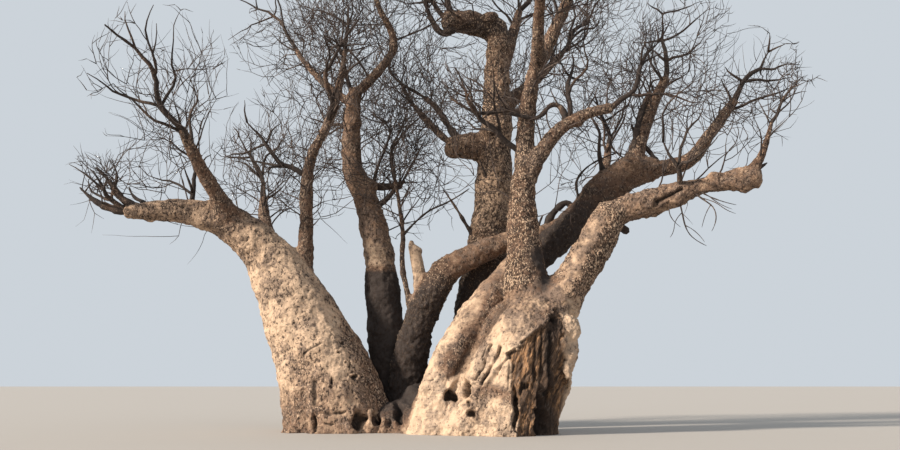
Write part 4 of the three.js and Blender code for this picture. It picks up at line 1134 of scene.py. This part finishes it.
def webbed(points, edges, places, rounds):
    """Smooths the skin, and more so where limbs meet, but for the groove."""
    crotch = bell(np.maximum(places.beside, 0), WEB_REACH * np.minimum(places.radius, WEB_RADIUS))
    crotch *= smooth(*WEB_GAP, line_distance(points, GROOVE))
    points = relax(points, edges, *SKIN_SMOOTHING)
    return relax(points, edges, (WEB_WEIGHT * crotch)[:, None], rounds)


def sunk_start(bearer, places):
    """How deep a skin of boughs starts in the skin of the stem that bears them."""
    first = limbs[bearer].length - OVERLAP
    start = 1 - smooth(first + 0.1, first + OVERLAP_FADE, places.s)
    return COVERED_SINKING * start * (places.limb == bearer)


def bark_piece(name, spec, sizes):
    """Models the bark of one group of limbs."""
    members, bearer = spec["limbs"], spec.get("borne_by")
    grain = sizes.grain * 1
    mesh = remeshed(name, *joined(bark_parts(name, spec)), grain)
    refine(mesh)
    points, edges = coordinates(mesh), edges_of(mesh)
    places = Places(points, members + [bearer] if bearer else members)
    points = webbed(points, edges, places, sizes.webbing)
    place_points(mesh, points)
    height, hollow, wood = bark_relief(points, normals_of(mesh), places, sizes.relief)
    if bearer:
        height -= sunk_start(bearer, places)
    place_points(mesh, points + normals_of(mesh) * height[:, None])
    looks = np.stack(bark_tone(points, normals_of(mesh), places), axis=-1)
    tone, speckle = relax(looks, edges, *TONE_SMOOTHING).T
    write_value(mesh, "tone", tone)
    write_value(mesh, "speckle", speckle)
    write_value(mesh, "hollow", hollow)
    write_value(mesh, "wood", wood)
    write_vector(mesh, "straight", places.straight)
    if any("ground" in limbs[limb].spec for limb in members):
        cut_at_ground(mesh)
    mesh.shade_smooth()
    piece = show(name, mesh)
    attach(piece, "root")
    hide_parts(*members)
    return piece


class Draws:
    """Seeded random numbers, one stream for each twig; the same as in the source."""

    def __init__(self, seeds):
        self.state = seeds % WORD
        everyone = np.ones(len(seeds), bool)
        self.draw(everyone)
        self.draw(everyone)

    def draw(self, who):
        """The next number from 0 to 1 of those twigs that draw."""
        self.state = np.where(who, (self.state * 1664525 + 1013904223) % WORD, self.state)
        return self.state / WORD


def child_seed(seed, index):
    return (seed * 69069 + index * 362437 + 1) % WORD


def free_way(limb_radius):
    """How far from its root a twig may still be close to its own limb."""
    return 1.6 * limb_radius + 0.35


class Space:
    """The room that each mass of twigs may fill: within its reach, nearer to it than to the others, and
    clear of the limbs."""

    def __init__(self):
        specs = MASSES.values()
        self.root = np.array([limbs[m["on"]].point(m.get("at", 1.0)) for m in specs])
        self.ahead = np.array([heading(*m["heading"]) for m in specs])
        self.reach = np.array([m["reach"] for m in specs])
        self.core = self.ahead * (self.reach * SPACE_AHEAD)[:, None]
        probes = []
        for number, limb in enumerate(limbs[name] for name in LIMBS):
            count = math.ceil(limb.length / PROBE_STEP)
            share = np.arange(count + 1) / count
            radius = limb.radius(share * limb.length)
            probes.append(np.column_stack([limb.point(share), radius, np.full(count + 1, number)]))
        self.probes = np.concatenate(probes)
        middle = self.root + self.core / 2
        away = np.linalg.norm(self.probes[:, None, :3] - middle, axis=2)
        limit = self.reach * (1 + SPACE_AHEAD / 2) + 2 * self.probes[:, 3:4] + 0.3
        self.near = [self.probes[away[:, m] < limit[:, m]] for m in range(len(specs))]
        self.low, self.high = np.array(CAD_BOX) + [[-ROOM_OUTSIDE], [ROOM_OUTSIDE]]

    def off(self, points):
        """How far points are outside the reach of each mass; below zero inside it."""
        away = points[:, None] - self.root
        along = np.clip((away * self.core).sum(2) / (self.core ** 2).sum(1), 0, 1)
        return np.linalg.norm(away - self.core * along[..., None], axis=2) - self.reach

    def holds(self, points, twigs, strict):
        """Whether each point is in its twig's space. Fine twigs only have to keep within some mass's reach
        or close to their root, and clear of the limbs."""
        margin = twigs.radius + SPACE_MARGIN
        off = self.off(points)
        from_root = np.linalg.norm(points - twigs.root, axis=1)
        if strict:
            own = off[np.arange(len(points)), twigs.mass]
            off[np.arange(len(points)), twigs.mass] = np.inf
            fine = (own <= -margin) & (off.min(1) > own + 2 * margin)
        else:
            fine = (off.min(1) <= -margin) | (from_root < ROOM_AT_ROOT)
            fine &= (points > self.low).all(1) & (points < self.high).all(1)
        at_root = from_root < twigs.free
        for m in np.unique(twigs.mass[fine]):
            who = np.flatnonzero(fine & (twigs.mass == m))
            probes = self.near[m]
            away = np.linalg.norm(points[who, None] - probes[:, :3], axis=2)
            excused = at_root[who, None] & (probes[:, 4] == twigs.limb[who, None])
            clear = away > probes[:, 3] * LIMB_CLEARANCE + margin[who, None]
            fine[who] = (excused | clear).all(1)
        return fine

    def step_is_clear(self, start, end, twigs, strict):
        clear = np.ones(len(start), bool)
        pieces = np.ceil(np.linalg.norm(end - start, axis=1) / PROBE_STEP)
        for i in range(1, int(pieces.max(initial=0)) + 1):
            who = np.flatnonzero(clear & (pieces >= i))
            if len(who):
                share = (i / pieces[who])[:, None]
                tested = start[who] * (1 - share) + end[who] * share
                clear[who] = self.holds(tested, twigs.pick(who), strict)
        return clear


class Twigs:
    """Twigs that are about to grow: where each starts and heads, and the limb and mass it belongs to."""

    FIELDS = ("start", "course", "length", "radius", "seed", "mass", "limb", "root", "free")

    def __init__(self, **values):
        for field in self.FIELDS:
            setattr(self, field, values[field])

    def __len__(self):
        return len(self.seed)

    def pick(self, who):
        return Twigs(**{field: getattr(self, field)[who] for field in self.FIELDS})

    @staticmethod
    def together(batches):
        return Twigs(**{
            field: np.concatenate([getattr(batch, field) for batch in batches]) for field in Twigs.FIELDS
        })


def crosswise(courses, degrees):
    """Directions across courses, turned round them by an angle from level."""
    level = np.stack([-courses[:, 1], courses[:, 0], np.zeros(len(courses))], axis=-1)
    level[np.linalg.norm(level, axis=1) < 1e-4] = (1, 0, 0)
    level = unit(level)
    upright = np.cross(courses, level)
    turn = np.radians(degrees)[:, None]
    return level * np.cos(turn) + upright * np.sin(turn)


def grow(twigs, level, space):
    """Grows one level of crooked twigs. Gives their points, how many each has, and their side twigs."""
    knees, children, crook = (TWIG_LEVELS[level][key] for key in ("knees", "children", "crook"))
    draws = Draws(twigs.seed)
    count = np.ones(len(twigs), int)
    growing = np.ones(len(twigs), bool)
    points = np.repeat(twigs.start[:, None], knees + 1, axis=1)
    courses = np.repeat(twigs.course[:, None], knees + 1, axis=1)
    for i in range(knees):
        turn = np.stack([draws.draw(growing) - 0.5 for _ in range(3)], axis=-1)
        course = courses[:, i] + 2 * crook * turn
        course[:, 2] += TWIG_LIFT
        course = unit(course)
        ahead = points[:, i] + course * (twigs.length / knees)[:, None]
        who = np.flatnonzero(growing)
        strict = level <= LAST_STRICT_LEVEL
        growing[who] = space.step_is_clear(points[who, i], ahead[who], twigs.pick(who), strict)
        points[growing, i + 1:] = ahead[growing, None]
        courses[growing, i + 1:] = course[growing, None]
        count[growing] += 1
    if level + 1 == len(TWIG_LEVELS):
        return points, count, None
    spin = 360 * draws.draw(count > 1)
    batches = []
    for i in range(1, knees + 1):
        for k in range(children):
            who = np.flatnonzero(count > i)
            share = i / knees
            course = courses[who, i]
            across = crosswise(course, spin[who] + GOLDEN_ANGLE * (i * children + k))
            spread = math.radians(TWIG_SPREAD * (SPREAD_ALONG[0] - SPREAD_ALONG[1] * share))
            shorter = LENGTH_ALONG[0] - LENGTH_ALONG[1] * share
            side = twigs.pick(who)
            side.start = points[who, i]
            side.course = course * math.cos(spread) + across * math.sin(spread)
            side.length = side.length * TWIG_LEVELS[level + 1]["length"] * shorter
            side.radius = np.maximum(side.radius * (1 - (1 - TWIG_TAPER) * share) * TWIG_THINNING,
                                     THINNEST_TWIGS[level])
            side.seed = child_seed(side.seed, i * 4 + k)
            batches.append(side)
    return points, count, Twigs.together(batches)


def mass_stems(space):
    """The stem of each mass, where it leaves its limb."""
    specs = list(MASSES.values())
    bearers = [limbs[m["on"]] for m in specs]
    limb_radius = np.array([
        limb.radius(m.get("at", 1.0) * limb.length) for limb, m in zip(bearers, specs)
    ])
    return Twigs(
        start=space.root, course=space.ahead, length=space.reach * TWIG_LEVELS[0]["length"],
        radius=np.minimum(limb_radius * STEM_SHARE, THICKEST_TWIG),
        seed=np.array([m["seed"] for m in specs]), mass=np.arange(len(specs)),
        limb=np.array([list(limbs).index(m["on"]) for m in specs]),
        root=space.root, free=free_way(limb_radius),
    )


def side_shoots(limb, s, turn, lean, length, radius, seeds, space):
    """Twigs that leave a limb at these distances along it, where the limb isn't too low or too thick."""
    share = s / limb.length
    along = limb.tangent(share)
    course = unit(along * lean + crosswise(along, turn))
    start = limb.point(share)
    thickness = limb.radius(s)
    off = space.off(start + course * (thickness + 0.3)[:, None])
    number = list(limbs).index(limb.name)
    upward = (course[:, 2] > STEEPEST_DROP) | (seeds % 101 < 101 * DROOPING_SHARE)
    fit = upward & (start[:, 2] > LOWEST_SHOOT) & (thickness < THICKEST_SHOOTING)
    return Twigs(
        start=start, course=course, length=thickness + length,
        radius=np.minimum(thickness * SHOOT_SHARE, radius), seed=seeds, mass=off.argmin(1),
        limb=np.full(len(s), number), root=start, free=free_way(thickness),
    ).pick(np.flatnonzero(fit))


def shoot_places(limb, level):
    """Distances along a limb at which its further twigs start."""
    if level == SHOOT_LEVEL:
        return np.arange(SHOOT_START * limb.length, limb.length, SHOOT_STEP)
    blunt = limb.spec["tip"] > THICKEST_TWIG and limb.name in LIMBS
    return limb.length - np.linspace(*TIP_ZONE, TIP_BRANCHES if blunt else 1)


def further_twigs(space, level):
    """Further twigs of the limbs: branches round blunt tips, or short shoots all along the boughs."""
    spec = SHOOTS[level]
    batches = []
    for number, limb in enumerate(limbs.values()):
        if "bare" in limb.spec:
            continue
        s = shoot_places(limb, level)
        index = np.arange(len(s))
        seeds = child_seed(spec["seed"] + number, index)
        length = spec["length"] * (0.7 + 0.5 * (seeds % 97) / 97)
        turn = GOLDEN_ANGLE * index + LIMB_TURN * number
        batches.append(side_shoots(limb, s, turn, spec["lean"], length, spec["radius"], seeds, space))
    return Twigs.together(batches)


def rounded(points, cuts):
    """A finer smooth line through the points of each twig."""
    before = np.concatenate([2 * points[:, :1] - points[:, 1:2], points[:, :-1]], axis=1)
    after = np.concatenate([points[:, 1:], 2 * points[:, -1:] - points[:, -2:-1]], axis=1)
    slope = (after - before) / 2
    a, b, m, n = points[:, :-1], points[:, 1:], slope[:, :-1], slope[:, 1:]
    steps = []
    for t in np.arange(cuts) / cuts:
        steps.append(a * (2 * t ** 3 - 3 * t ** 2 + 1) + m * (t ** 3 - 2 * t ** 2 + t)
                     + b * (3 * t ** 2 - 2 * t ** 3) + n * (t ** 3 - t ** 2))
    return np.concatenate([np.stack(steps, axis=2).reshape(len(points), -1, 3), points[:, -1:]], axis=1)


def crooked(points, roots):
    """Bends lines as the noise runs, but not near their roots, so that twigs stay joined."""
    flat = points.reshape(-1, 3)
    away = np.linalg.norm(points - roots[:, None], axis=2)
    fade = smooth(*BEND_FADE, away)[..., None]
    for size, amount, seed in BENDS:
        offset = np.stack([noise(flat, size, seed + k) for k in range(3)], axis=-1)
        points = points + amount * fade * offset.reshape(points.shape)
    return points


def tubes(points, radius, sides):
    """Closed tubes along lines that have the same number of points each, with a radius at each point."""
    n, k = points.shape[:2]
    across = np.tile([0.3, 0.5, 0.8], (n, 1))
    turns = np.linspace(0, 2 * math.pi, sides, endpoint=False)
    rings = []
    for i in range(k):
        along = unit(points[:, min(i + 1, k - 1)] - points[:, max(i - 1, 0)])
        across = unit(across - along * (across * along).sum(1, keepdims=True))
        other = np.cross(along, across)
        circle = across[:, None] * np.cos(turns)[:, None] + other[:, None] * np.sin(turns)[:, None]
        rings.append(points[:, i, None] + circle * radius[:, i, None, None])
    made = np.stack(rings, axis=1).reshape(-1, 3)
    faces = []
    for i in range(k - 1):
        for j in range(sides):
            a, b = i * sides + j, i * sides + (j + 1) % sides
            faces += [(a, b, b + sides), (a, b + sides, a + sides)]
    last = (k - 1) * sides
    for j in range(1, sides - 1):
        faces += [(0, j + 1, j), (last, last + j, last + j + 1)]
    starts = np.arange(n)[:, None, None] * (k * sides)
    return made, (np.array(faces) + starts).reshape(-1, 3)


def mark_branches(mesh):
    """Gives the branches the values that the bark's material reads."""
    points = coordinates(mesh)
    amount, size, seed = BRANCH_MOTTLE
    write_value(mesh, "tone", BRANCH_TONE + amount * noise(points, size, seed))
    write_value(mesh, "speckle", np.full(len(points), BRANCH_SPECKLE))
    write_value(mesh, "hollow", np.zeros(len(points)))
    write_value(mesh, "wood", np.zeros(len(points)))
    write_vector(mesh, "straight", points)


def branch(limb):
    """Points and faces of one of the slight branches, knobbly and closed at both ends."""
    count = math.ceil(limb.length / LOFT_STEP) + 2
    share = np.linspace(0, 1, count)
    line = limb.point(share)[None]
    thicker = 1.0
    for height, size, seed in BRANCH_KNOBS:
        thicker = thicker + height * noise(line[0], size, seed)
    radius = limb.radius(share * limb.length) * thicker
    radius[-1] *= BRANCH_END
    return tubes(line, radius[None], BRANCH_SIDES)


def tapered(points, radius):
    """The radius at each point of some twigs that have the same number of points."""
    share = np.linspace(0, 1, points.shape[1])
    tip = 1 - TIP_THINNING * np.maximum(share - TIP_START, 0) / (1 - TIP_START)
    return radius[:, None] * (1 - (1 - TWIG_TAPER) * share) * tip


def nearest_mass(space, limb):
    """The mass whose reach a branch is deepest in."""
    beyond_middle = limb.point(np.array([0.6]))
    return list(MASSES)[int(space.off(beyond_middle).argmin())]


def grown_twigs():
    """Grows every level of twigs. Gives, for each mass, the tubes of its coarse and of its fine twigs."""
    space = Space()
    found = {name: {"branches": [], "fine_twigs": []} for name in MASSES}
    for name in BRANCHES:
        found[nearest_mass(space, limbs[name])]["branches"].append(branch(limbs[name]))
    batch = mass_stems(space)
    for level in range(len(TWIG_LEVELS)):
        if level in SHOOTS:
            batch = Twigs.together([batch, further_twigs(space, level)])
        points, count, side = grow(batch, level, space)
        kind = "branches" if level < COARSE_LEVELS else "fine_twigs"
        for many in range(2, points.shape[1] + 1):
            for m, name in enumerate(MASSES):
                who = np.flatnonzero((count == many) & (batch.mass == m))
                if not len(who):
                    continue
                line = crooked(rounded(points[who, :many], ROUNDING[level]), batch.root[who])
                radius = tapered(line, batch.radius[who])
                found[name][kind].append(tubes(line, radius, TWIG_SIDES[level]))
        batch = side
    return found


class Wire:
    """A node's output that can be used in sums."""

    def __init__(self, shader, socket):
        self.shader = shader
        self.socket = socket

    def math(self, operation, *values):
        return self.shader.node("ShaderNodeMath", {"operation": operation}, dict(enumerate(values)))

    def __add__(self, other):
        return self.math("ADD", self, other)

    def __radd__(self, other):
        return self.math("ADD", other, self)

    def __sub__(self, other):
        return self.math("SUBTRACT", self, other)

    def __rsub__(self, other):
        return self.math("SUBTRACT", other, self)

    def __mul__(self, other):
        return self.math("MULTIPLY", self, other)

    def __rmul__(self, other):
        return self.math("MULTIPLY", other, self)

    def above(self, low, high):
        """0 below the low value and 1 above the high one."""
        return self.shader.node(
            "ShaderNodeMapRange", {"interpolation_type": "SMOOTHSTEP", "clamp": True},
            {"Value": self, "From Min": low, "From Max": high},
        )


class Shader:
    """A material under construction."""

    def __init__(self, name):
        self.material = bpy.data.materials.new(name)
        self.material.use_nodes = True
        self.nodes = self.material.node_tree.nodes
        self.links = self.material.node_tree.links
        self.surface = self.nodes["Principled BSDF"]

    def node(self, kind, settings, inputs, output=0):
        """Adds a node, sets it up and connects it, and gives one of its outputs."""
        made = self.nodes.new(kind)
        for key, value in settings.items():
            setattr(made, key, value)
        for key, value in inputs.items():
            self.join(value, made.inputs[key])
        return Wire(self, made.outputs[output])

    def join(self, value, socket):
        if isinstance(value, Wire):
            self.links.new(value.socket, socket)
        else:
            socket.default_value = value

    def mix(self, share, first, second):
        """Mixes two colours. Inputs 6 and 7 and output 2 are the node's sockets for colours."""
        return self.node("ShaderNodeMix", {"data_type": "RGBA"}, {0: share, 6: first, 7: second}, output=2)

    def place(self):
        return self.node("ShaderNodeTexCoord", {}, {}, output="Object")

    def attribute(self, name, output="Fac"):
        return self.node("ShaderNodeAttribute", {"attribute_name": name}, {}, output=output)

    def stretched(self, vector, scale):
        return self.node("ShaderNodeVectorMath", {"operation": "MULTIPLY"}, {0: vector, 1: scale})

    def grain(self, vector, scale, detail, roughness):
        """Cloudy noise with this many lumps to the metre."""
        return self.node("ShaderNodeTexNoise", {}, {
            "Vector": vector, "Scale": scale, "Detail": detail, "Roughness": roughness,
        })

    def finish(self, colour, roughness, height, distance, strength):
        self.join(colour, self.surface.inputs["Base Color"])
        self.join(roughness, self.surface.inputs["Roughness"])
        bump = self.node("ShaderNodeBump", {}, {
            "Height": height, "Distance": distance, "Strength": strength,
        })
        self.join(bump, self.surface.inputs["Normal"])
        return self.material


def bark_material(colours):
    """Cream to brown bark, mottled in patches, with dark and pale specks, and bare fibrous wood, and
    painted shade in crotches, on the lower inner stems, part of the bare wood, and in pits, cracks, hollows
    and the groove.
    """
    shader = Shader("baobab_bark")
    place = shader.place()
    tone = shader.attribute("tone")
    speckle = shader.attribute("speckle")
    hollow = shader.attribute("hollow")
    wood = shader.attribute("wood")
    straight = shader.attribute("straight", "Vector")
    broad = shader.grain(place, scale=0.8, detail=4.0, roughness=0.6)
    patches = shader.grain(place, scale=3.4, detail=6.0, roughness=0.68)
    blotches = shader.grain(shader.stretched(place, (1, 1, 0.7)), scale=12.0, detail=5.0, roughness=0.7)
    flecks = shader.grain(shader.stretched(place, (1, 1, 0.6)), scale=21.0, detail=3.0, roughness=0.6)
    coarse = shader.grain(place, scale=8.0, detail=4.0, roughness=0.7)
    wrinkles = shader.grain(shader.stretched(straight, (3, 3, 26)), scale=1.0, detail=4.0, roughness=0.6)
    age = (tone + (broad - 0.5) * 1.3 + (patches - 0.5) * 1.9).above(0.0, 1.0)
    colour = shader.mix(age, colours.pale, colours.brown)
    grey = (patches * 0.7 + broad * 0.5).above(0.56, 0.68)
    colour = shader.mix(grey * 0.5, colour, colours.grey)
    # painted shade as well as the darkest bark: where the tone is highest, as on the lower inner stems and
    # in the crotch between the middle and right stems, the colour goes to the deep bark's
    darkest = (tone + (patches - 0.5) * 0.8).above(0.9, 1.7)
    colour = shader.mix(darkest * 0.92, colour, colours.deep)
    thick = speckle + (broad - 0.5) * 1.6 + (patches - 0.5) * 1.6
    light = (flecks * 0.9 + coarse * 0.4 + thick * 0.08).above(0.78, 0.81) * speckle.above(0.0, 1.1)
    light = light * (2.0 - tone).above(0.0, 0.8)
    dark = (blotches + thick * 0.15).above(0.63, 0.67)
    lines = (wrinkles + (patches - 0.5) * 0.8).above(0.6, 0.68)
    colour = shader.mix(lines * 0.35, colour, colours.deep)
    colour = shader.mix(dark * 0.92, colour, colours.speck)
    colour = shader.mix(light * 0.85, colour, colours.pale)

    strands = shader.grain(shader.stretched(straight, (7, 7, 0.9)), scale=1.0, detail=6.0, roughness=0.62)
    fibres = shader.grain(shader.stretched(straight, (26, 26, 2.2)), scale=1.0, detail=5.0, roughness=0.68)
    rust = (strands * 0.6 + patches * 0.5 + broad * 0.3).above(0.66, 0.8)
    timber = shader.mix(rust * (1.1 - tone).above(0.0, 1.0) * 0.8, colours.wood, colours.rust)
    gaps = (1 - fibres + (broad - 0.5) * 0.4).above(0.5, 0.6)
    timber = shader.mix(gaps * 0.8, timber, colours.speck)
    # painted shade on the bare wood where the tone is dark
    shaded = (tone + patches - 0.5).above(0.5, 1.2)
    timber = shader.mix(shaded * 0.75, timber, colours.speck)
    ashen = (fibres + (patches - 0.5) * 0.5).above(0.56, 0.64)
    timber = shader.mix(ashen * 0.6 * (1.9 - tone).above(0.0, 1.0), timber, colours.grey)
    colour = shader.mix(wood, colour, timber)
    # painted shade in pits, cracks, hollows and the groove
    colour = shader.mix(hollow * 0.85, colour, colours.hollow)
    shader.surface.inputs["Specular IOR Level"].default_value = BARK_SHEEN
    skin = blotches * -0.7 + patches * 0.6 + wrinkles * 0.35
    height = skin * (1 - wood) + (fibres + strands) * wood
    roughness = 0.82 + patches * 0.16
    return shader.finish(colour, roughness, height, distance=0.07, strength=0.8)


def twig_material(colours):
    """Mottled grey-brown bark of the twigs."""
    shader = Shader("baobab_twigs")
    place = shader.place()
    mottle = shader.grain(place, scale=3.0, detail=4.0, roughness=0.6)
    broad = shader.grain(place, scale=0.8, detail=2.0, roughness=0.5)
    age = (mottle * 0.7 + broad * 0.5).above(0.45, 0.75)
    colour = shader.mix(age, colours.dark, colours.light)
    shader.surface.inputs["Specular IOR Level"].default_value = BARK_SHEEN
    return shader.finish(colour, 0.8 + mottle * 0.18, mottle, distance=0.01, strength=0.5)


def colour_property(name, description, colour):
    """A colour that the user may change."""
    return bpy.props.FloatVectorProperty(
        name=name, description=description, default=(*colour, 1.0), size=4, subtype="COLOR",
        min=0.0, max=1.0,
    )


class BaobabBark(bpy.types.PropertyGroup):
    """Sizes and colours of the bark."""

    grain: bpy.props.FloatProperty(
        name="Grain", description="Spacing of the points of the bark's skin", default=0.05, unit="LENGTH",
        min=0.02, max=0.3,
    )
    relief: bpy.props.FloatProperty(
        name="Relief", description="Height of the lumps and pits, as a share of the usual", default=1.0,
        subtype="FACTOR", min=0.0, max=2.0,
    )
    webbing: bpy.props.IntProperty(
        name="Webbing", description="Rounds of smoothing where limbs meet", default=36, min=0, max=200,
    )
    pale: colour_property("Pale bark", "Colour of the smooth bark low on the stems", (0.6, 0.43, 0.30))
    wood: colour_property("Bare wood", "Colour of the weathered bare wood", (0.115, 0.072, 0.048))
    rust: colour_property("Fresh wood", "Colour of the orange patches of bare wood", (0.5, 0.27, 0.13))
    # this colour is also the painted shade of the near-black lower inner stems and of the crotch between
    # the middle and right stems
    deep: colour_property("Deep bark", "Colour of the darkest inner stems", (0.034, 0.029, 0.028))
    brown: colour_property("Brown bark", "Colour of the rough bark high on the stems", (0.17, 0.10, 0.066))
    grey: colour_property("Weathered bark", "Colour of greyed patches", (0.20, 0.158, 0.132))
    # also the colour of the painted shade on the bare wood
    speck: colour_property("Specks", "Colour of the dark specks", (0.035, 0.023, 0.018))
    # colour of the painted shade in pits, cracks, hollows and the groove
    hollow: colour_property("Hollows", "Colour inside pits and hollows", (0.014, 0.009, 0.007))


class BaobabTwigs(bpy.types.PropertyGroup):
    """Colours of the branches and twigs."""

    dark: colour_property("Dark twigs", "Colour of the darker bark of twigs", (0.031, 0.024, 0.023))
    light: colour_property("Light twigs", "Colour of the paler bark of twigs", (0.115, 0.087, 0.075))


class BaobabStage(bpy.types.PropertyGroup):
    """Floor, light and camera."""

    floor_colour: colour_property("Floor", "Colour of the floor", (0.4, 0.37, 0.34))
    surroundings: colour_property(
        "Surroundings", "Colour of the soft light all round", (0.86, 0.93, 1.0),
    )
    key: bpy.props.FloatProperty(
        name="Key light", description="Strength of the key light, from the left in front", default=6.3,
        min=0.0,
    )
    distance: bpy.props.FloatProperty(
        name="Camera distance", description="How far the camera stands in front of the stems", default=31.4,
        unit="LENGTH", min=5.0,
    )
    eye_height: bpy.props.FloatProperty(
        name="Camera height", description="Height of the camera above the ground", default=1.6,
        unit="LENGTH",
    )
    tilt: bpy.props.FloatProperty(
        name="Camera tilt", description="How far the camera looks up", default=math.radians(10.36),
        subtype="ANGLE",
    )


class BAOBAB_OT_bark(bpy.types.Operator):
    """Model the bark of the stems and boughs"""

    bl_idname = "baobab.bark"
    bl_label = "Bark of stems and boughs"

    def execute(self, context):
        sizes = context.scene.baobab_bark
        material = bark_material(sizes)
        for name, spec in BARK_PIECES.items():
            bark_piece(name, spec, sizes).data.materials.append(material)
        return {"FINISHED"}


class BAOBAB_OT_twigs(bpy.types.Operator):
    """Grow the branches and twigs at the ends of the boughs"""

    bl_idname = "baobab.twigs"
    bl_label = "Branches and twigs"

    def execute(self, context):
        materials = {
            "branches": bpy.data.materials["baobab_bark"],
            "fine_twigs": twig_material(context.scene.baobab_twigs),
        }
        found = grown_twigs()
        for side, masses in TWIG_PIECES.items():
            for kind, slot in (("branches", "bough_bark"), ("fine_twigs", "twigs")):
                parts = [part for mass in masses for part in found[mass][kind]]
                mesh = new_mesh(f"{side}_{kind}", *joined(parts))
                if kind == "branches":
                    mark_branches(mesh)
                mesh.shade_smooth()
                mesh.materials.append(materials[kind])
                piece = show(f"{side}_{kind}", mesh)
                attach(piece, "root")
                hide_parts(*masses)
        return {"FINISHED"}


def lay_floor(sizes):
    """Lays a broad, plain floor with faint patches."""
    shader = Shader("stage_floor")
    soft = shader.grain(shader.place(), scale=0.7, detail=3.0, roughness=0.55)
    colour = shader.mix(soft * 0.12, sizes.floor_colour, FLOOR_PATCHES)
    material = shader.finish(colour, FLOOR_ROUGHNESS, soft, distance=0.01, strength=0.2)
    half = FLOOR_HALF
    corners = np.array([(-half, -half, 0), (half, -half, 0), (half, half, 0), (-half, half, 0)])
    floor = show("stage_floor", new_mesh("stage_floor", corners, np.array([[0, 1, 2, 3]])))
    floor.data.materials.append(material)


def light_scene(scene, sizes):
    """Adds soft light from all round and a warm key light."""
    world = bpy.data.worlds.new("soft_surroundings")
    scene.world = world
    world.use_nodes = True
    background = world.node_tree.nodes["Background"]
    background.inputs["Color"].default_value = sizes.surroundings
    background.inputs["Strength"].default_value = SURROUNDINGS_STRENGTH
    key = bpy.data.objects.new("key_light", bpy.data.lights.new("key_light", "SUN"))
    key.data.energy = sizes.key
    key.data.angle = math.radians(KEY_SOFTNESS)
    key.data.color = KEY_COLOUR
    key.rotation_euler = Vector(KEY_DIRECTION).to_track_quat("Z", "Y").to_euler()
    scene.collection.objects.link(key)


def set_camera(scene, sizes):
    """Sets the camera up at eye height in front of the stems."""
    scene.view_settings.view_transform = "Standard"
    camera = bpy.data.objects.new("camera", bpy.data.cameras.new("camera"))
    camera.data.lens = LENS
    camera.data.sensor_width = SENSOR
    camera.data.clip_end = VIEW_LIMIT
    camera.location = (CAMERA_SIDE, -sizes.distance, sizes.eye_height)
    camera.rotation_euler = (math.pi / 2 + sizes.tilt, 0, 0)
    scene.collection.objects.link(camera)
    scene.camera = camera


class BAOBAB_OT_stage(bpy.types.Operator):
    """Lay the floor, and set up the light and the camera"""

    bl_idname = "baobab.stage"
    bl_label = "Floor, light and camera"

    def execute(self, context):
        sizes = context.scene.baobab_stage
        lay_floor(sizes)
        light_scene(context.scene, sizes)
        set_camera(context.scene, sizes)
        return {"FINISHED"}


class BAOBAB_PT_panel(bpy.types.Panel):
    """Sizes, colours and steps of the model"""

    bl_label = "Bare Baobab"
    bl_idname = "BAOBAB_PT_panel"
    bl_space_type = "VIEW_3D"
    bl_region_type = "UI"
    bl_category = "Baobab"

    def draw(self, context):
        scene = context.scene
        for group in (scene.baobab_bark, scene.baobab_twigs, scene.baobab_stage):
            box = self.layout.box()
            for name in group.bl_rna.properties.keys():
                if name not in ("rna_type", "name"):
                    box.prop(group, name)
        for step in STEPS:
            self.layout.operator(step.bl_idname)


STEPS = (BAOBAB_OT_bark, BAOBAB_OT_twigs, BAOBAB_OT_stage)
CLASSES = (BaobabBark, BaobabTwigs, BaobabStage, *STEPS, BAOBAB_PT_panel)


def register():
    for kind in CLASSES:
        bpy.utils.register_class(kind)
    bpy.types.Scene.baobab_bark = bpy.props.PointerProperty(type=BaobabBark)
    bpy.types.Scene.baobab_twigs = bpy.props.PointerProperty(type=BaobabTwigs)
    bpy.types.Scene.baobab_stage = bpy.props.PointerProperty(type=BaobabStage)


def unregister():
    del bpy.types.Scene.baobab_stage
    del bpy.types.Scene.baobab_twigs
    del bpy.types.Scene.baobab_bark
    for kind in reversed(CLASSES):
        bpy.utils.unregister_class(kind)


def main():
    register()
    bpy.ops.baobab.bark()
    bpy.ops.baobab.twigs()
    bpy.ops.baobab.stage()


if __name__ == "__main__":
    main()
